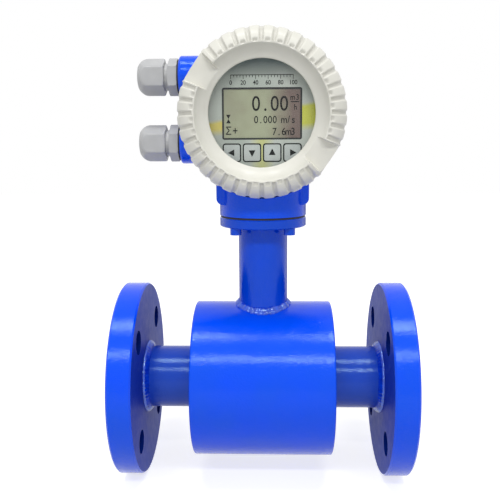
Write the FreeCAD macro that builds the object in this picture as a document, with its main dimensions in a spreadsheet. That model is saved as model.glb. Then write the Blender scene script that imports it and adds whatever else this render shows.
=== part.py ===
"""Electromagnetic flow meter, DN40: a flanged sensor tube with its coil housing, a neck, and a round
transmitter head with a windowed front cover, a blind rear cover and two cable glands.

Frame: millimetres, +X along the flow, -Y to the display, +Z up, origin on the flow axis at mid-length.
Every size is a cell of the sheet "Sizes"; sketches, features and placements are bound to those cells.
"""
import FreeCAD, Part

import math
import os
import re

import Sketcher

V = FreeCAD.Vector
DOC = FreeCAD.newDocument("flow_meter")

SIZES = {
    # sensor tube and pipe flanges
    "face_to_face": 225.0,         # overall length over the liner's two flared faces
    "flange_dia": 150.0,
    "flange_thk": 18.0,            # rim, without the raised face
    "flange_chamfer": 1.2,
    "raised_face_dia": 88.0,
    "raised_face_step": 1.0,
    "bolt_circle": 110.0,
    "bolt_hole_dia": 18.0,
    "bolt_count": 4,
    "pipe_dia": 48.3,
    "pipe_wall": 2.6,
    "liner_bore": 38.0,
    "liner_flare_dia": 84.0,
    "liner_flare_thk": 1.5,
    "liner_mouth_radius": 1.2,
    "weld_leg": 5.0,
    "slip_gap": 0.1,               # radial clearance where one piece slides over another
    "seat_gap": 0.3,               # clearance between pieces that come apart
    # coil housing
    "housing_dia": 120.5,
    "housing_wall": 4.0,
    "housing_length": 106.0,
    "housing_edge_radius": 2.5,
    "end_plate_thk": 4.0,
    "end_plate_inset": 1.5,
    "cable_hole_dia": 28.0,
    # coils, magnet and electrodes
    "pole_shoe_thk": 3.0,
    "pole_shoe_length": 46.0,
    "pole_shoe_angle": 100.0,
    "core_dia": 12.0,
    "coil_dia": 42.0,
    "coil_height": 15.0,
    "bobbin_flange_thk": 1.2,
    "bobbin_lip": 1.0,
    "yoke_room": 4.25,             # between the yoke band and the housing's wall
    "yoke_thk": 2.0,
    "yoke_width": 40.0,
    "yoke_screw_dia": 4.0,
    "yoke_screw_depth": 8.0,
    "electrode_dia": 5.0,
    "electrode_collar_dia": 8.4,
    "electrode_reach": 37.0,
    "electrode_chamfer": 0.5,
    "electrode_boss_dia": 17.0,
    "electrode_boss_reach": 28.0,
    "bush_wall": 1.6,
    "bush_flange_dia": 13.0,
    "bush_flange_thk": 2.0,
    "electrode_nut_width": 8.0,
    "electrode_nut_thk": 4.0,
    # neck
    "neck_dia": 37.5,
    "neck_wall": 3.5,
    "neck_weld_leg": 3.6,
    "neck_flange_dia": 66.0,
    "neck_flange_thk": 7.0,
    "neck_top": 129.0,             # height of the neck flange's upper face
    "gasket_thk": 1.5,
    "gasket_inset": 0.6,
    "neck_screw_circle": 56.5,
    "neck_screw_dia": 5.0,
    "neck_screw_head_dia": 8.5,
    "neck_screw_head": 5.0,
    "neck_screw_socket": 4.0,      # across the flats of the hexagon socket
    "neck_screw_grip": 9.0,        # thread length inside the head casting
    "screw_hole_gap": 0.25,
    # transmitter head casting
    "head_height": 205.0,          # height of the drum's axis
    "drum_dia": 104.0,
    "drum_length": 42.0,
    "drum_bore": 92.0,
    "drum_edge_chamfer": 1.5,
    "thread_chamfer": 1.0,
    "thread_dia": 99.6,
    "thread_reach": 12.0,
    "thread_gap": 0.3,
    "partition_thk": 4.0,
    "front_chamber": 19.0,         # depth of the display chamber
    "saddle_width": 69.0,
    "saddle_depth": 34.0,
    "saddle_base": 139.0,          # height of the saddle's underside
    "saddle_radius": 5.0,
    "cover_room": 1.0,             # clearance round a turning cover
    "wire_way_dia": 18.0,
    "boss_dia": 31.0,
    "boss_reach": 62.0,
    "boss_radius": 2.0,
    "gland_rise": 29.0,            # upper gland above the drum's axis
    "gland_drop": 20.0,            # lower gland below the drum's axis
    # screwed covers
    "cover_dia": 118.0,
    "cover_rim_dia": 116.8,
    "cover_rim_width": 6.0,
    "cover_rim_round": 1.0,
    "cover_rim_slope": 1.5,        # rise of the cone from the rim to the ribbed side
    "cover_front": 54.0,           # crest of the cover from the neck's axis
    "shoulder_height": 10.0,
    "shoulder_radius": 14.0,
    "crest_dia": 92.5,
    "crest_land": 1.6,
    "window_dia": 74.5,
    "window_depth": 9.0,
    "window_lip": 2.0,
    "funnel_radius": 22.0,
    "blind_recess": 3.0,
    "blind_plate_thk": 5.0,
    "rib_count": 36,
    "rib_groove_width": 2.4,
    "rib_groove_depth": 1.6,
    "rib_groove_run_in": 0.8,      # how far the groove's foot stands over its depth at the crest
    "rib_groove_sharper": 1.0,     # how much less the groove's arc is than the shoulder's
    "rib_nick_width": 4.0,
    "rib_nick_length": 3.0,
    "rib_nick_depth": 1.5,
    "rib_nick_overlap": 0.6,       # how far the nick reaches into the crest's land
    "notch_angle": 146.0,
    "notch_width": 18.0,
    "notch_flare": 5.0,            # how much wider the spanner notch is at the rim
    "notch_depth": 6.5,
    "notch_flat": 55.5,            # distance of the notch's side flat from the cover's axis
    "oring_section": 2.0,
    "oring_setback": 3.0,
    "glass_dia": 86.0,
    "glass_thk": 6.0,
    "glass_chamfer": 0.5,
    "window_gasket_thk": 1.0,
    "window_gasket_width": 4.6,
    "retainer_thk": 2.0,
    "retainer_width": 3.6,
    # display and electronics
    "fascia_thk": 1.2,
    "lcd_width": 56.6,
    "lcd_height": 36.2,
    "lcd_rise": 0.3,
    "lcd_corner": 1.6,
    "lcd_frame_width": 1.1,
    "lcd_recess": 0.6,
    "board_dia": 88.0,
    "board_thk": 1.6,
    "main_board_height": 4.0,      # above the partition
    "display_board_height": 11.0,
    "power_board_height": 3.4,
    "chip_thk": 1.8,
    "post_dia": 5.0,
    "post_spread": 34.0,
    "post_rise": 17.0,
    "key_width": 11.4,
    "key_corner": 1.4,
    "key_pitch": 14.4,
    "key_drop": 27.1,
    "key_proud": 0.4,
    "key_travel": 0.4,
    "key_flange": 0.9,             # how far the key's flange stands out behind the fascia
    "key_flange_thk": 1.3,
    "key_stem_dia": 4.0,
    "switch_width": 6.0,
    "switch_thk": 1.6,
    "terminal_length": 62.0,
    "terminal_height": 16.0,
    "terminal_depth": 13.0,
    "terminal_count": 8,
    "terminal_hole_dia": 4.2,
    # cable glands
    "gland_thread_dia": 19.8,
    "gland_thread_length": 11.0,
    "gland_washer_thk": 1.2,
    "gland_washer_dia": 26.0,
    "gland_hex": 24.0,
    "gland_collar": 6.8,
    "gland_bore": 12.6,
    "gland_cage_length": 10.0,
    "gland_cage_wall": 1.6,
    "gland_chamfer": 0.9,
    "seal_bore": 9.0,
    "seal_length": 12.0,
    "seal_taper": 1.5,
    "seal_taper_length": 2.0,
    "nut_gap": 3.0,                # thread left showing between the collar and the nut
    "nut_skirt": 13.0,
    "nut_dome": 7.0,
    "nut_mouth": 13.4,
    "nut_lip": 2.2,
    "nut_dome_radius": 9.5,
}

SHEET = DOC.addObject("Spreadsheet::Sheet", "Sizes")
PIECES = []

ALONG_X = FreeCAD.Rotation(V(0, 1, 0), 90)        # a piece's own +Z lies along +X
AGAINST_X = FreeCAD.Rotation(V(0, 1, 0), -90)     # own +Z along -X, own +X up
TO_FRONT = FreeCAD.Rotation(V(1, 0, 0), 90)       # own +Z along -Y, own +Y up
TO_REAR = FreeCAD.Rotation(V(0, 0, 1), 180) * TO_FRONT
UPSIDE_DOWN = FreeCAD.Rotation(V(1, 0, 0), 180)
NEAR = 0.001             # places closer than this, in mm, count as the same
LEAST_CUT = 0.001        # a cut that takes away less than this, in mm3, has missed


def fill_sheet():
    """Write each driving size into its own named cell."""
    for row, (alias, value) in enumerate(SIZES.items(), 1):
        SHEET.set(f"A{row}", alias)
        SHEET.set(f"B{row}", str(value))
        SHEET.setAlias(f"B{row}", alias)
    DOC.recompute()


# ---------------------------------------------------------------- formulas and features

def formula(text):
    """Turn size names in a formula into references to the sheet."""
    return re.sub(r"[a-z_][a-z_0-9]*", lambda word: "Sizes." + word.group()
                  if word.group() in SIZES else word.group(), str(text))


def value(text):
    """The present value of a formula."""
    result = SHEET.evalExpression(formula(text))
    return result.Value if hasattr(result, "Value") else float(result)


def bind(thing, prop, text):
    """Tie a property to a formula."""
    thing.setExpression(prop, formula(text))


def place(thing, at=("0", "0", "0"), turn=FreeCAD.Rotation()):
    """Turn a piece and tie its position to formulas."""
    thing.Placement = FreeCAD.Placement(V(*(value(part) for part in at)), turn)
    for letter, part in zip("xyz", at):
        bind(thing, f"Placement.Base.{letter}", part)


def piece(thing, label):
    """Name a finished sub-part and put it on the list of pieces."""
    thing.Label = label
    PIECES.append(thing)
    return thing


def new_body(label, at=("0", "0", "0"), turn=FreeCAD.Rotation()):
    body = DOC.addObject("PartDesign::Body", label)
    body.AllowCompound = True
    place(body, at, turn)
    return piece(body, label)


def origin_feature(body, role):
    return next(item for item in body.Origin.OriginFeatures if item.Role == role)


def new_sketch(body, plane, lift="0", turn="0"):
    """An empty sketch on one of the body's own planes, lifted off it and turned about its normal."""
    sketch = body.newObject("Sketcher::SketchObject", "Sketch")
    sketch.AttachmentSupport = [(origin_feature(body, plane + "_Plane"), "")]
    sketch.MapMode = "FlatFace"
    sketch.AttachmentOffset = FreeCAD.Placement(V(0, 0, value(lift)),
                                                FreeCAD.Rotation(V(0, 0, 1), value(turn)))
    bind(sketch, "AttachmentOffset.Base.z", lift)
    if turn != "0":
        bind(sketch, "AttachmentOffset.Rotation.Angle", turn)
    return sketch


def fix(sketch, kind, text, *where):
    """Add one dimension to a sketch and tie it to a formula."""
    index = sketch.addConstraint(Sketcher.Constraint(kind, *where, value(text)))
    sketch.setExpression(f"Constraints[{index}]", formula(text))


def arc_between(start, end, radius):
    """The short arc between two points; a positive radius has its centre to the left of the way."""
    chord = end - start
    left = V(-chord.y, chord.x, 0).normalize()
    reach = math.sqrt(radius ** 2 - (chord.Length / 2) ** 2)
    centre = (start + end) * 0.5 + left * math.copysign(reach, radius)
    first, last = (start, end) if radius > 0 else (end, start)
    angles = [math.atan2(point.y - centre.y, point.x - centre.x) for point in (first, last)]
    return Part.ArcOfCircle(Part.Circle(centre, V(0, 0, 1), abs(radius)), *angles)


def outline(sketch, points):
    """A closed outline. A point is (x, y), or (x, y, radius) where the edge that leaves it is an arc."""
    places = [V(value(point[0]), value(point[1]), 0) for point in points]
    ends = []
    for index, point in enumerate(points):
        start, end = places[index], places[(index + 1) % len(points)]
        if len(point) == 2:
            geo = sketch.addGeometry(Part.LineSegment(start, end))
            ends.append((geo, 1, 2))
            continue
        geo = sketch.addGeometry(arc_between(start, end, value(point[2])))
        ends.append((geo, 1, 2) if value(point[2]) > 0 else (geo, 2, 1))
        fix(sketch, "Radius", f"abs({point[2]})", geo)
    for (geo, _, last), (after, first, _) in zip(ends, ends[1:] + ends[:1]):
        sketch.addConstraint(Sketcher.Constraint("Coincident", geo, last, after, first))
    for (geo, first, _), point in zip(ends, points):
        fix(sketch, "DistanceX", point[0], -1, 1, geo, first)
        fix(sketch, "DistanceY", point[1], -1, 1, geo, first)


def circle(sketch, x, y, dia):
    geo = sketch.addGeometry(Part.Circle(V(value(x), value(y), 0), V(0, 0, 1), value(dia) / 2))
    fix(sketch, "Diameter", dia, geo)
    fix(sketch, "DistanceX", x, -1, 1, geo, 3)
    fix(sketch, "DistanceY", y, -1, 1, geo, 3)


def rectangle(sketch, x, y, width, height, corner=None):
    """A rectangle about (x, y), with round corners if a corner radius is given."""
    left, right = f"({x}) - ({width})/2", f"({x}) + ({width})/2"
    low, high = f"({y}) - ({height})/2", f"({y}) + ({height})/2"
    if corner is None:
        outline(sketch, [(left, low), (right, low), (right, high), (left, high)])
        return
    outline(sketch, [(f"{left} + {corner}", low), (f"{right} - {corner}", low, corner),
                     (right, f"{low} + {corner}"), (right, f"{high} - {corner}", corner),
                     (f"{right} - {corner}", high), (f"{left} + {corner}", high, corner),
                     (left, f"{high} - {corner}"), (left, f"{low} + {corner}", corner)])


def hexagon(sketch, across_flats):
    """A hexagon about the origin with two corners on the sketch's own X axis."""
    corner = f"({across_flats})/2/cos(30)"
    outline(sketch, [(f"{corner}*cos({angle})", f"{corner}*sin({angle})") for angle in range(0, 360, 60)])


def extrude(body, kind, sketch, length, back=False, both=False):
    """A Pad or a Pocket of a sketch: one way, the other way, or half to each side."""
    feature = body.newObject("PartDesign::" + kind, kind)
    feature.Profile = sketch
    feature.Reversed = back
    feature.SideType = "Symmetric" if both else "One side"
    bind(feature, "Length", length)
    return feature


def turn_profile(body, points, kind="Revolution"):
    """Turn an outline of (radius, height) points about the body's own Z axis."""
    sketch = new_sketch(body, "XZ")
    outline(sketch, points)
    feature = body.newObject("PartDesign::" + kind, kind)
    feature.Profile = sketch
    feature.ReferenceAxis = (sketch, ["V_Axis"])
    feature.Angle = 360
    return feature


def repeat(body, features, count, axis="Z"):
    """Copy features evenly round one of the body's own axes."""
    pattern = body.newObject("PartDesign::PolarPattern", "Pattern")
    pattern.Originals = features
    pattern.Axis = (origin_feature(body, axis + "_Axis"), [""])
    pattern.Angle = 360
    bind(pattern, "Occurrences", count)
    body.Tip = pattern
    return pattern


def turned(label, points, at=("0", "0", "0"), turn=FreeCAD.Rotation()):
    """A piece that is one turned profile."""
    body = new_body(label, at, turn)
    turn_profile(body, points)
    return body


def cylinder(name, radius, height, at, turn=FreeCAD.Rotation()):
    shape = DOC.addObject("Part::Cylinder", name)
    bind(shape, "Radius", radius)
    bind(shape, "Height", height)
    place(shape, at, turn)
    return shape


def side_place(side, distance):
    """Where a piece of the inlet (-1) or outlet (+1) side stands on the flow axis."""
    return (f"{side}*({distance})", "0", "0")


# ---------------------------------------------------------------- sensor tube

FLANGE_INNER = "(face_to_face/2 - liner_flare_thk - raised_face_step - flange_thk)"
PIPE_END = "(face_to_face/2 - liner_flare_thk)"
PLATE_FACE = "(housing_length/2 - end_plate_inset)"
PIPE_RADIUS = "(pipe_dia/2)"
LINER_RADIUS = "(pipe_dia/2 - pipe_wall - slip_gap)"


def pipe_flange(label, side):
    """A slip-on pipe flange with a raised face and four holes straddling the vertical."""
    body = new_body(label, side_place(side, FLANGE_INNER), ALONG_X if side > 0 else AGAINST_X)
    bore = f"{PIPE_RADIUS} + slip_gap"
    turn_profile(body, [
        (bore, "0"), ("flange_dia/2 - flange_chamfer", "0"), ("flange_dia/2", "flange_chamfer"),
        ("flange_dia/2", "flange_thk - flange_chamfer"), ("flange_dia/2 - flange_chamfer", "flange_thk"),
        ("raised_face_dia/2", "flange_thk"), ("raised_face_dia/2", "flange_thk + raised_face_step"),
        (bore, "flange_thk + raised_face_step")])
    hole = new_sketch(body, "XY", turn="180/bolt_count")
    circle(hole, "bolt_circle/2", "0", "bolt_hole_dia")
    cut = extrude(body, "Pocket", hole, "flange_thk + 1", back=True)
    repeat(body, [cut], "bolt_count")


def corner_weld(label, side, distance, outwards):
    """A round weld bead in the corner between the pipe and a flange or end plate."""
    along = side if outwards else -side
    inner = f"{PIPE_RADIUS} + slip_gap"
    turned(label, [(inner, "0"), (f"{inner} + weld_leg", "0", "weld_leg*1.3"), (inner, "weld_leg")],
           side_place(side, distance), ALONG_X if along > 0 else AGAINST_X)


def measuring_pipe():
    """The steel tube with a turned boss on each side for the electrodes."""
    body = new_body("measuring_pipe", turn=ALONG_X)
    ring = new_sketch(body, "XY")
    circle(ring, "0", "0", "pipe_dia")
    extrude(body, "Pad", ring, f"2*{PIPE_END}", both=True)
    boss = new_sketch(body, "XZ")
    circle(boss, "0", "0", "electrode_boss_dia")
    extrude(body, "Pad", boss, "2*electrode_boss_reach", both=True)
    bore = new_sketch(body, "XY")
    circle(bore, "0", "0", "pipe_dia - 2*pipe_wall")
    extrude(body, "Pocket", bore, "face_to_face + 2", both=True)
    cross = new_sketch(body, "XZ")
    circle(cross, "0", "0", "electrode_dia + 2*bush_wall + 4*slip_gap")
    extrude(body, "Pocket", cross, "2*electrode_boss_reach + 2", both=True)


def liner():
    """The lining tube between the flares, with holes for the electrodes."""
    body = new_body("liner", turn=ALONG_X)
    bore, end = "liner_bore/2", PIPE_END
    turn_profile(body, [
        (bore, f"-{end}"), (LINER_RADIUS, f"-{end}"), (LINER_RADIUS, end), (bore, end)])
    cross = new_sketch(body, "XZ")
    circle(cross, "0", "0", "electrode_collar_dia + 2*slip_gap")
    extrude(body, "Pocket", cross, "pipe_dia", both=True)


def liner_flare(label, turn):
    """The lining's collar over a flange's raised face, with a rounded mouth."""
    body = new_body(label, turn=turn)
    bore, mouth, face = "liner_bore/2", "liner_mouth_radius", "face_to_face/2"
    turn_profile(body, [
        (bore, PIPE_END), ("liner_flare_dia/2", PIPE_END), ("liner_flare_dia/2", face),
        (f"{bore} + {mouth}", face, mouth), (bore, f"{face} - {mouth}")])


def coil_housing():
    """The round casing of the coils, open at its ends, with a cable hole under the neck."""
    body = new_body("coil_housing", turn=ALONG_X)
    outer, inner = "housing_dia/2", "(housing_dia/2 - housing_wall)"
    end, edge = "housing_length/2", "housing_edge_radius"
    turn_profile(body, [
        (inner, f"-{end}"), (f"{outer} - {edge}", f"-{end}", edge), (outer, f"-{end} + {edge}"),
        (outer, f"{end} - {edge}", edge), (f"{outer} - {edge}", end), (inner, end)])
    hole = new_sketch(body, "YZ")
    circle(hole, "0", "0", "cable_hole_dia")
    extrude(body, "Pocket", hole, "housing_dia/2 + 1", back=False)


def end_plate(label, side):
    """The annular plate that closes one end of the coil housing round the pipe."""
    start = f"{PLATE_FACE} - end_plate_thk"
    outer, inner = "housing_dia/2 - housing_wall - slip_gap", f"{PIPE_RADIUS} + slip_gap"
    turned(label, [(inner, "0"), (outer, "0"), (outer, "end_plate_thk"), (inner, "end_plate_thk")],
           side_place(side, start), ALONG_X if side > 0 else AGAINST_X)


# ---------------------------------------------------------------- magnet and electrodes

SHOE_INNER = f"({PIPE_RADIUS} + seat_gap)"
SHOE_OUTER = f"({SHOE_INNER} + pole_shoe_thk)"
YOKE_BORE = "(housing_dia - 2*housing_wall - 2*yoke_room - 2*yoke_thk)"
CORE_TOP = f"(sqrt({YOKE_BORE}^2/4 - core_dia^2/4) - seat_gap)"


def pole_shoe(label, turn):
    """A curved shoe on the pipe with the round core that carries the coil."""
    body = new_body(label, turn=turn)
    lean = "(90 - pole_shoe_angle/2)"
    section = new_sketch(body, "YZ")
    outline(section, [
        (f"{SHOE_INNER}*cos{lean}", f"{SHOE_INNER}*sin{lean}"),
        (f"{SHOE_OUTER}*cos{lean}", f"{SHOE_OUTER}*sin{lean}", SHOE_OUTER),
        (f"-{SHOE_OUTER}*cos{lean}", f"{SHOE_OUTER}*sin{lean}"),
        (f"-{SHOE_INNER}*cos{lean}", f"{SHOE_INNER}*sin{lean}", f"-{SHOE_INNER}")])
    extrude(body, "Pad", section, "pole_shoe_length", both=True)
    start = f"({SHOE_INNER} + pole_shoe_thk/2)"
    core = new_sketch(body, "XY", start)
    circle(core, "0", "0", "core_dia")
    extrude(body, "Pad", core, f"{CORE_TOP} - {start}")
    hole = new_sketch(body, "XY", CORE_TOP)
    circle(hole, "0", "0", "yoke_screw_dia + 2*slip_gap")
    extrude(body, "Pocket", hole, "yoke_screw_depth")


def coil(label, turn):
    """A wound coil on its bobbin, lying on the pole shoe round the core."""
    start = f"({SHOE_OUTER} + seat_gap)"
    bore, outer = "core_dia/2 + seat_gap", "coil_dia/2"
    low, high = f"{start} + bobbin_flange_thk", f"{start} + coil_height - bobbin_flange_thk"
    turned(label, [(bore, start), (outer, start), (outer, low), (f"{outer} - bobbin_lip", low),
                   (f"{outer} - bobbin_lip", high), (outer, high), (outer, f"{start} + coil_height"),
                   (bore, f"{start} + coil_height")], turn=turn)


def yoke():
    """The steel band round both coils that closes the magnetic circuit, and its two screws."""
    body = new_body("yoke_ring", turn=ALONG_X)
    inner, outer = f"{YOKE_BORE}/2", f"({YOKE_BORE}/2 + yoke_thk)"
    turn_profile(body, [(inner, "-yoke_width/2"), (outer, "-yoke_width/2"),
                        (outer, "yoke_width/2"), (inner, "yoke_width/2")])
    hole = new_sketch(body, "YZ")
    circle(hole, "0", "0", "yoke_screw_dia + 2*slip_gap")
    extrude(body, "Pocket", hole, f"2*{outer} + 2*yoke_thk", both=True)
    screws = new_body("yoke_screws")
    seat = outer
    shank, head = "yoke_screw_dia/2", "yoke_screw_dia*0.9"
    screw = turn_profile(screws, [
        ("0", f"{CORE_TOP} - yoke_screw_depth + 1"), (shank, f"{CORE_TOP} - yoke_screw_depth + 1"),
        (shank, seat), (head, seat), (head, f"{seat} + yoke_screw_dia/2"),
        ("0", f"{seat} + yoke_screw_dia/2")])
    repeat(screws, [screw], "2", "Y")


def electrode(end, turn):
    """One electrode of the measuring pair: turned pin, insulating bush and nut."""
    radius, tip = "electrode_dia/2", "(liner_bore/2 + slip_gap)"
    collar, step = "electrode_collar_dia/2", f"{LINER_RADIUS}"
    turned(f"electrode_{end}", [("0", tip), (collar, tip), (collar, step), (radius, step),
                                (radius, "electrode_reach - electrode_chamfer"),
                                (f"{radius} - electrode_chamfer", "electrode_reach"),
                                ("0", "electrode_reach")], turn=turn)
    inner, outer = f"{radius} + slip_gap", f"{radius} + slip_gap + bush_wall"
    flange, seat = "bush_flange_dia/2", "electrode_boss_reach"
    turned(f"electrode_bush_{end}", [(inner, f"{step} + slip_gap"), (outer, f"{step} + slip_gap"),
                                     (outer, seat), (flange, seat), (flange, f"{seat} + bush_flange_thk"),
                                     (inner, f"{seat} + bush_flange_thk")], turn=turn)


def electrode_nuts():
    """The two hexagon nuts that clamp the electrodes against their bushes."""
    body = new_body("electrode_nuts", turn=TO_FRONT)
    seat = "electrode_boss_reach + bush_flange_thk"
    ring = new_sketch(body, "XY", seat)
    hexagon(ring, "electrode_nut_width")
    circle(ring, "0", "0", "electrode_dia + 2*slip_gap")
    nut = extrude(body, "Pad", ring, "electrode_nut_thk")
    repeat(body, [nut], "2", "Y")


# ---------------------------------------------------------------- neck

def saddle_cut(tool_name, solid, radius, label):
    """Cut the underside of an upright piece to the round of a cylinder along the flow axis."""
    saddle = cylinder(tool_name, radius, "housing_length", ("-housing_length/2", "0", "0"), ALONG_X)
    cut = DOC.addObject("Part::Cut", label)
    cut.Base, cut.Tool = solid, saddle
    return cut


def upright_ring(name, outer, inner, low, high):
    """A plain upright tube between two heights."""
    shell = cylinder(name + "_outside", outer, f"({high}) - ({low})", ("0", "0", low))
    bore = cylinder(name + "_bore", inner, f"({high}) - ({low}) + 2", ("0", "0", f"({low}) - 1"))
    ring = DOC.addObject("Part::Cut", name + "_ring")
    ring.Base, ring.Tool = shell, bore
    return ring


def neck_tube():
    """The tube between the coil housing and the neck flange, coped to the housing's round."""
    tube = upright_ring("neck", "neck_dia/2", "neck_dia/2 - neck_wall", "housing_dia/4", "neck_top")
    piece(saddle_cut("neck_saddle", tube, "housing_dia/2", "neck_tube"), "neck_tube")


def neck_weld():
    """The bead that follows the joint of neck and housing, thickest in the corner."""
    body = new_body("neck_weld")
    root, reach = "neck_dia/2 + slip_gap", "neck_dia/2 + slip_gap + neck_weld_leg"
    low, crown = "housing_dia/2 - neck_weld_leg*1.5", "housing_dia/2 + neck_weld_leg"
    turn_profile(body, [(root, low), (reach, low), (reach, "housing_dia/2 - neck_weld_leg*0.4",
                                                    "neck_weld_leg*1.6"), (root, crown)])
    room = new_sketch(body, "YZ")
    circle(room, "0", "0", "housing_dia")
    extrude(body, "Pocket", room, "housing_length", both=True)


def neck_flange():
    """The round flange welded on the neck that carries the transmitter head."""
    body = new_body("neck_flange", ("0", "0", "neck_top - neck_flange_thk"))
    outer, bore = "neck_flange_dia/2", "neck_dia/2 + slip_gap"
    edge = "flange_chamfer/2"
    turn_profile(body, [(bore, "0"), (f"{outer} - {edge}", "0"), (outer, edge),
                        (outer, f"neck_flange_thk - {edge}"), (f"{outer} - {edge}", "neck_flange_thk"),
                        (bore, "neck_flange_thk")])
    hole = new_sketch(body, "XY", turn="45")
    circle(hole, "neck_screw_circle/2", "0", "neck_screw_dia + 2*screw_hole_gap")
    repeat(body, [extrude(body, "Pocket", hole, "neck_flange_thk + 1", back=True)], "4")


def neck_gasket():
    """The flat gasket between the neck flange and the head casting."""
    body = new_body("neck_gasket", ("0", "0", "neck_top"))
    ring = new_sketch(body, "XY")
    circle(ring, "0", "0", "neck_flange_dia - 2*gasket_inset")
    circle(ring, "0", "0", "neck_dia - 2*neck_wall")
    extrude(body, "Pad", ring, "gasket_thk")
    hole = new_sketch(body, "XY", turn="45")
    circle(hole, "neck_screw_circle/2", "0", "neck_screw_dia + 2*screw_hole_gap")
    repeat(body, [extrude(body, "Pocket", hole, "gasket_thk + 1", back=True)], "4")


def neck_screws():
    """Four socket-head screws, up through the neck flange into the head casting."""
    body = new_body("neck_screws", ("0", "0", "neck_top - neck_flange_thk"))
    reach = "neck_flange_thk + gasket_thk + neck_screw_grip"
    shank = new_sketch(body, "XY", turn="45")
    circle(shank, "neck_screw_circle/2", "0", "neck_screw_dia")
    stem = extrude(body, "Pad", shank, reach)
    head = new_sketch(body, "XY", turn="45")
    circle(head, "neck_screw_circle/2", "0", "neck_screw_head_dia")
    cap = extrude(body, "Pad", head, "neck_screw_head", back=True)
    socket = new_sketch(body, "XY", "-neck_screw_head", "45")
    corner = "neck_screw_socket/2/cos(30)"
    outline(socket, [(f"neck_screw_circle/2 + {corner}*cos({angle})", f"{corner}*sin({angle})")
                     for angle in range(0, 360, 60)])
    hollow = extrude(body, "Pocket", socket, "neck_screw_head/2", back=True)
    repeat(body, [stem, cap, hollow], "4")


# ---------------------------------------------------------------- transmitter head

DRUM_END = "(drum_length/2 + thread_reach)"
PARTITION_FRONT = f"({DRUM_END} - front_chamber)"
PARTITION_REAR = f"({PARTITION_FRONT} - partition_thk)"
HEAD_BASE = "(neck_top + gasket_thk)"
HEAD_AT = ("0", "0", "head_height")
BORE_RADIUS = "(drum_bore/2)"


def transmitter_housing():
    """The head casting: drum with two threaded ends, saddle, round foot and gland bosses."""
    body = new_body("transmitter_housing", HEAD_AT, TO_FRONT)
    drum, thread, bevel = "drum_dia/2", "thread_dia/2", "drum_edge_chamfer"
    half, end, lead = "drum_length/2", DRUM_END, "thread_chamfer"
    turn_profile(body, [
        ("0", f"-{end}"), (f"{thread} - {lead}", f"-{end}"), (thread, f"-{end} + {lead}"),
        (thread, f"-{half}"),
        (f"{drum} - {bevel}", f"-{half}"), (drum, f"-{half} + {bevel}"), (drum, f"{half} - {bevel}"),
        (f"{drum} - {bevel}", half), (thread, half), (thread, f"{end} - {lead}"),
        (f"{thread} - {lead}", end), ("0", end)])
    wide, round_ = "saddle_width/2", "saddle_radius"
    low = "-(head_height - saddle_base)"
    saddle = new_sketch(body, "XY")
    outline(saddle, [(f"-{wide} + {round_}", low), (f"{wide} - {round_}", low, round_),
                     (wide, f"{low} + {round_}"), (wide, "0"), (f"-{wide}", "0"),
                     (f"-{wide}", f"{low} + {round_}", round_)])
    extrude(body, "Pad", saddle, "saddle_depth", both=True)
    foot = new_sketch(body, "XZ")
    circle(foot, "0", "0", "neck_flange_dia")
    extrude(body, "Pad", foot, f"head_height - {HEAD_BASE}")
    for reach in (f"{half}", f"-{half}"):
        clear_cover(body, reach)
    bosses = new_sketch(body, "YZ")
    circle(bosses, "gland_rise", "0", "boss_dia")
    circle(bosses, "-gland_drop", "0", "boss_dia")
    extrude(body, "Pad", bosses, "boss_reach", back=True)
    round_boss_edges(body)
    hollow_head(body)


def clear_cover(body, shoulder):
    """Scoop the foot away round the drum's end, where a cover's rim turns and slides."""
    room, past = "cover_dia/2 + cover_room", f"{shoulder}*2"
    turn_profile(body, [("thread_dia/2", shoulder), (room, shoulder), (room, past), ("thread_dia/2", past)],
                 "Groove")


def round_boss_edges(body):
    """Round the outer edge of each gland boss."""
    DOC.recompute()
    base = body.Tip
    reach = value("boss_reach")
    names = [f"Edge{index}" for index, edge in enumerate(base.Shape.Edges, 1)
             if isinstance(edge.Curve, Part.Circle) and edge.BoundBox.XMax < NEAR - reach]
    fillet = body.newObject("PartDesign::Fillet", "BossRounding")
    fillet.Base = (base, names)
    bind(fillet, "Radius", "boss_radius")


def hollow_head(body):
    """Cut the two chambers, the gland bores, the wire way and the screw holes."""
    turn_profile(body, [("0", PARTITION_FRONT), (BORE_RADIUS, PARTITION_FRONT),
                        (BORE_RADIUS, f"{DRUM_END} + 1"), ("0", f"{DRUM_END} + 1")], "Groove")
    turn_profile(body, [("0", PARTITION_REAR), (BORE_RADIUS, PARTITION_REAR),
                        (BORE_RADIUS, f"-{DRUM_END} - 1"), ("0", f"-{DRUM_END} - 1")], "Groove")
    bores = new_sketch(body, "YZ")
    circle(bores, "gland_rise", "0", "gland_thread_dia + 2*slip_gap")
    circle(bores, "-gland_drop", "0", "gland_thread_dia + 2*slip_gap")
    extrude(body, "Pocket", bores, "boss_reach + 1")
    way = new_sketch(body, "XZ")
    circle(way, "0", "0", "wire_way_dia")
    extrude(body, "Pocket", way, f"head_height - {HEAD_BASE} + 1", back=True)
    hole = new_sketch(body, "XZ", f"head_height - {HEAD_BASE}", "45")
    circle(hole, "neck_screw_circle/2", "0", "neck_screw_dia + 2*slip_gap")
    tapped = extrude(body, "Pocket", hole, "neck_screw_grip + 2")
    repeat(body, [tapped], "4", "Y")


# ---------------------------------------------------------------- covers

COVER_REAR = "(drum_length/2 + seat_gap)"
RIM_END = f"({COVER_REAR} + cover_rim_width)"
THREAD_BORE = "(thread_dia/2 + thread_gap)"
INNER_STEP = f"({DRUM_END} + seat_gap)"
GLASS_POCKET = "(glass_dia/2 + seat_gap)"
LIP_BACK = "(cover_front - window_depth - window_lip)"
ORING_AT = f"({COVER_REAR} + oring_setback)"
ORING_RADIUS = f"({THREAD_BORE} + oring_section/2 + slip_gap)"
SIDE_START = f"({RIM_END} + cover_rim_slope)"


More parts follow.
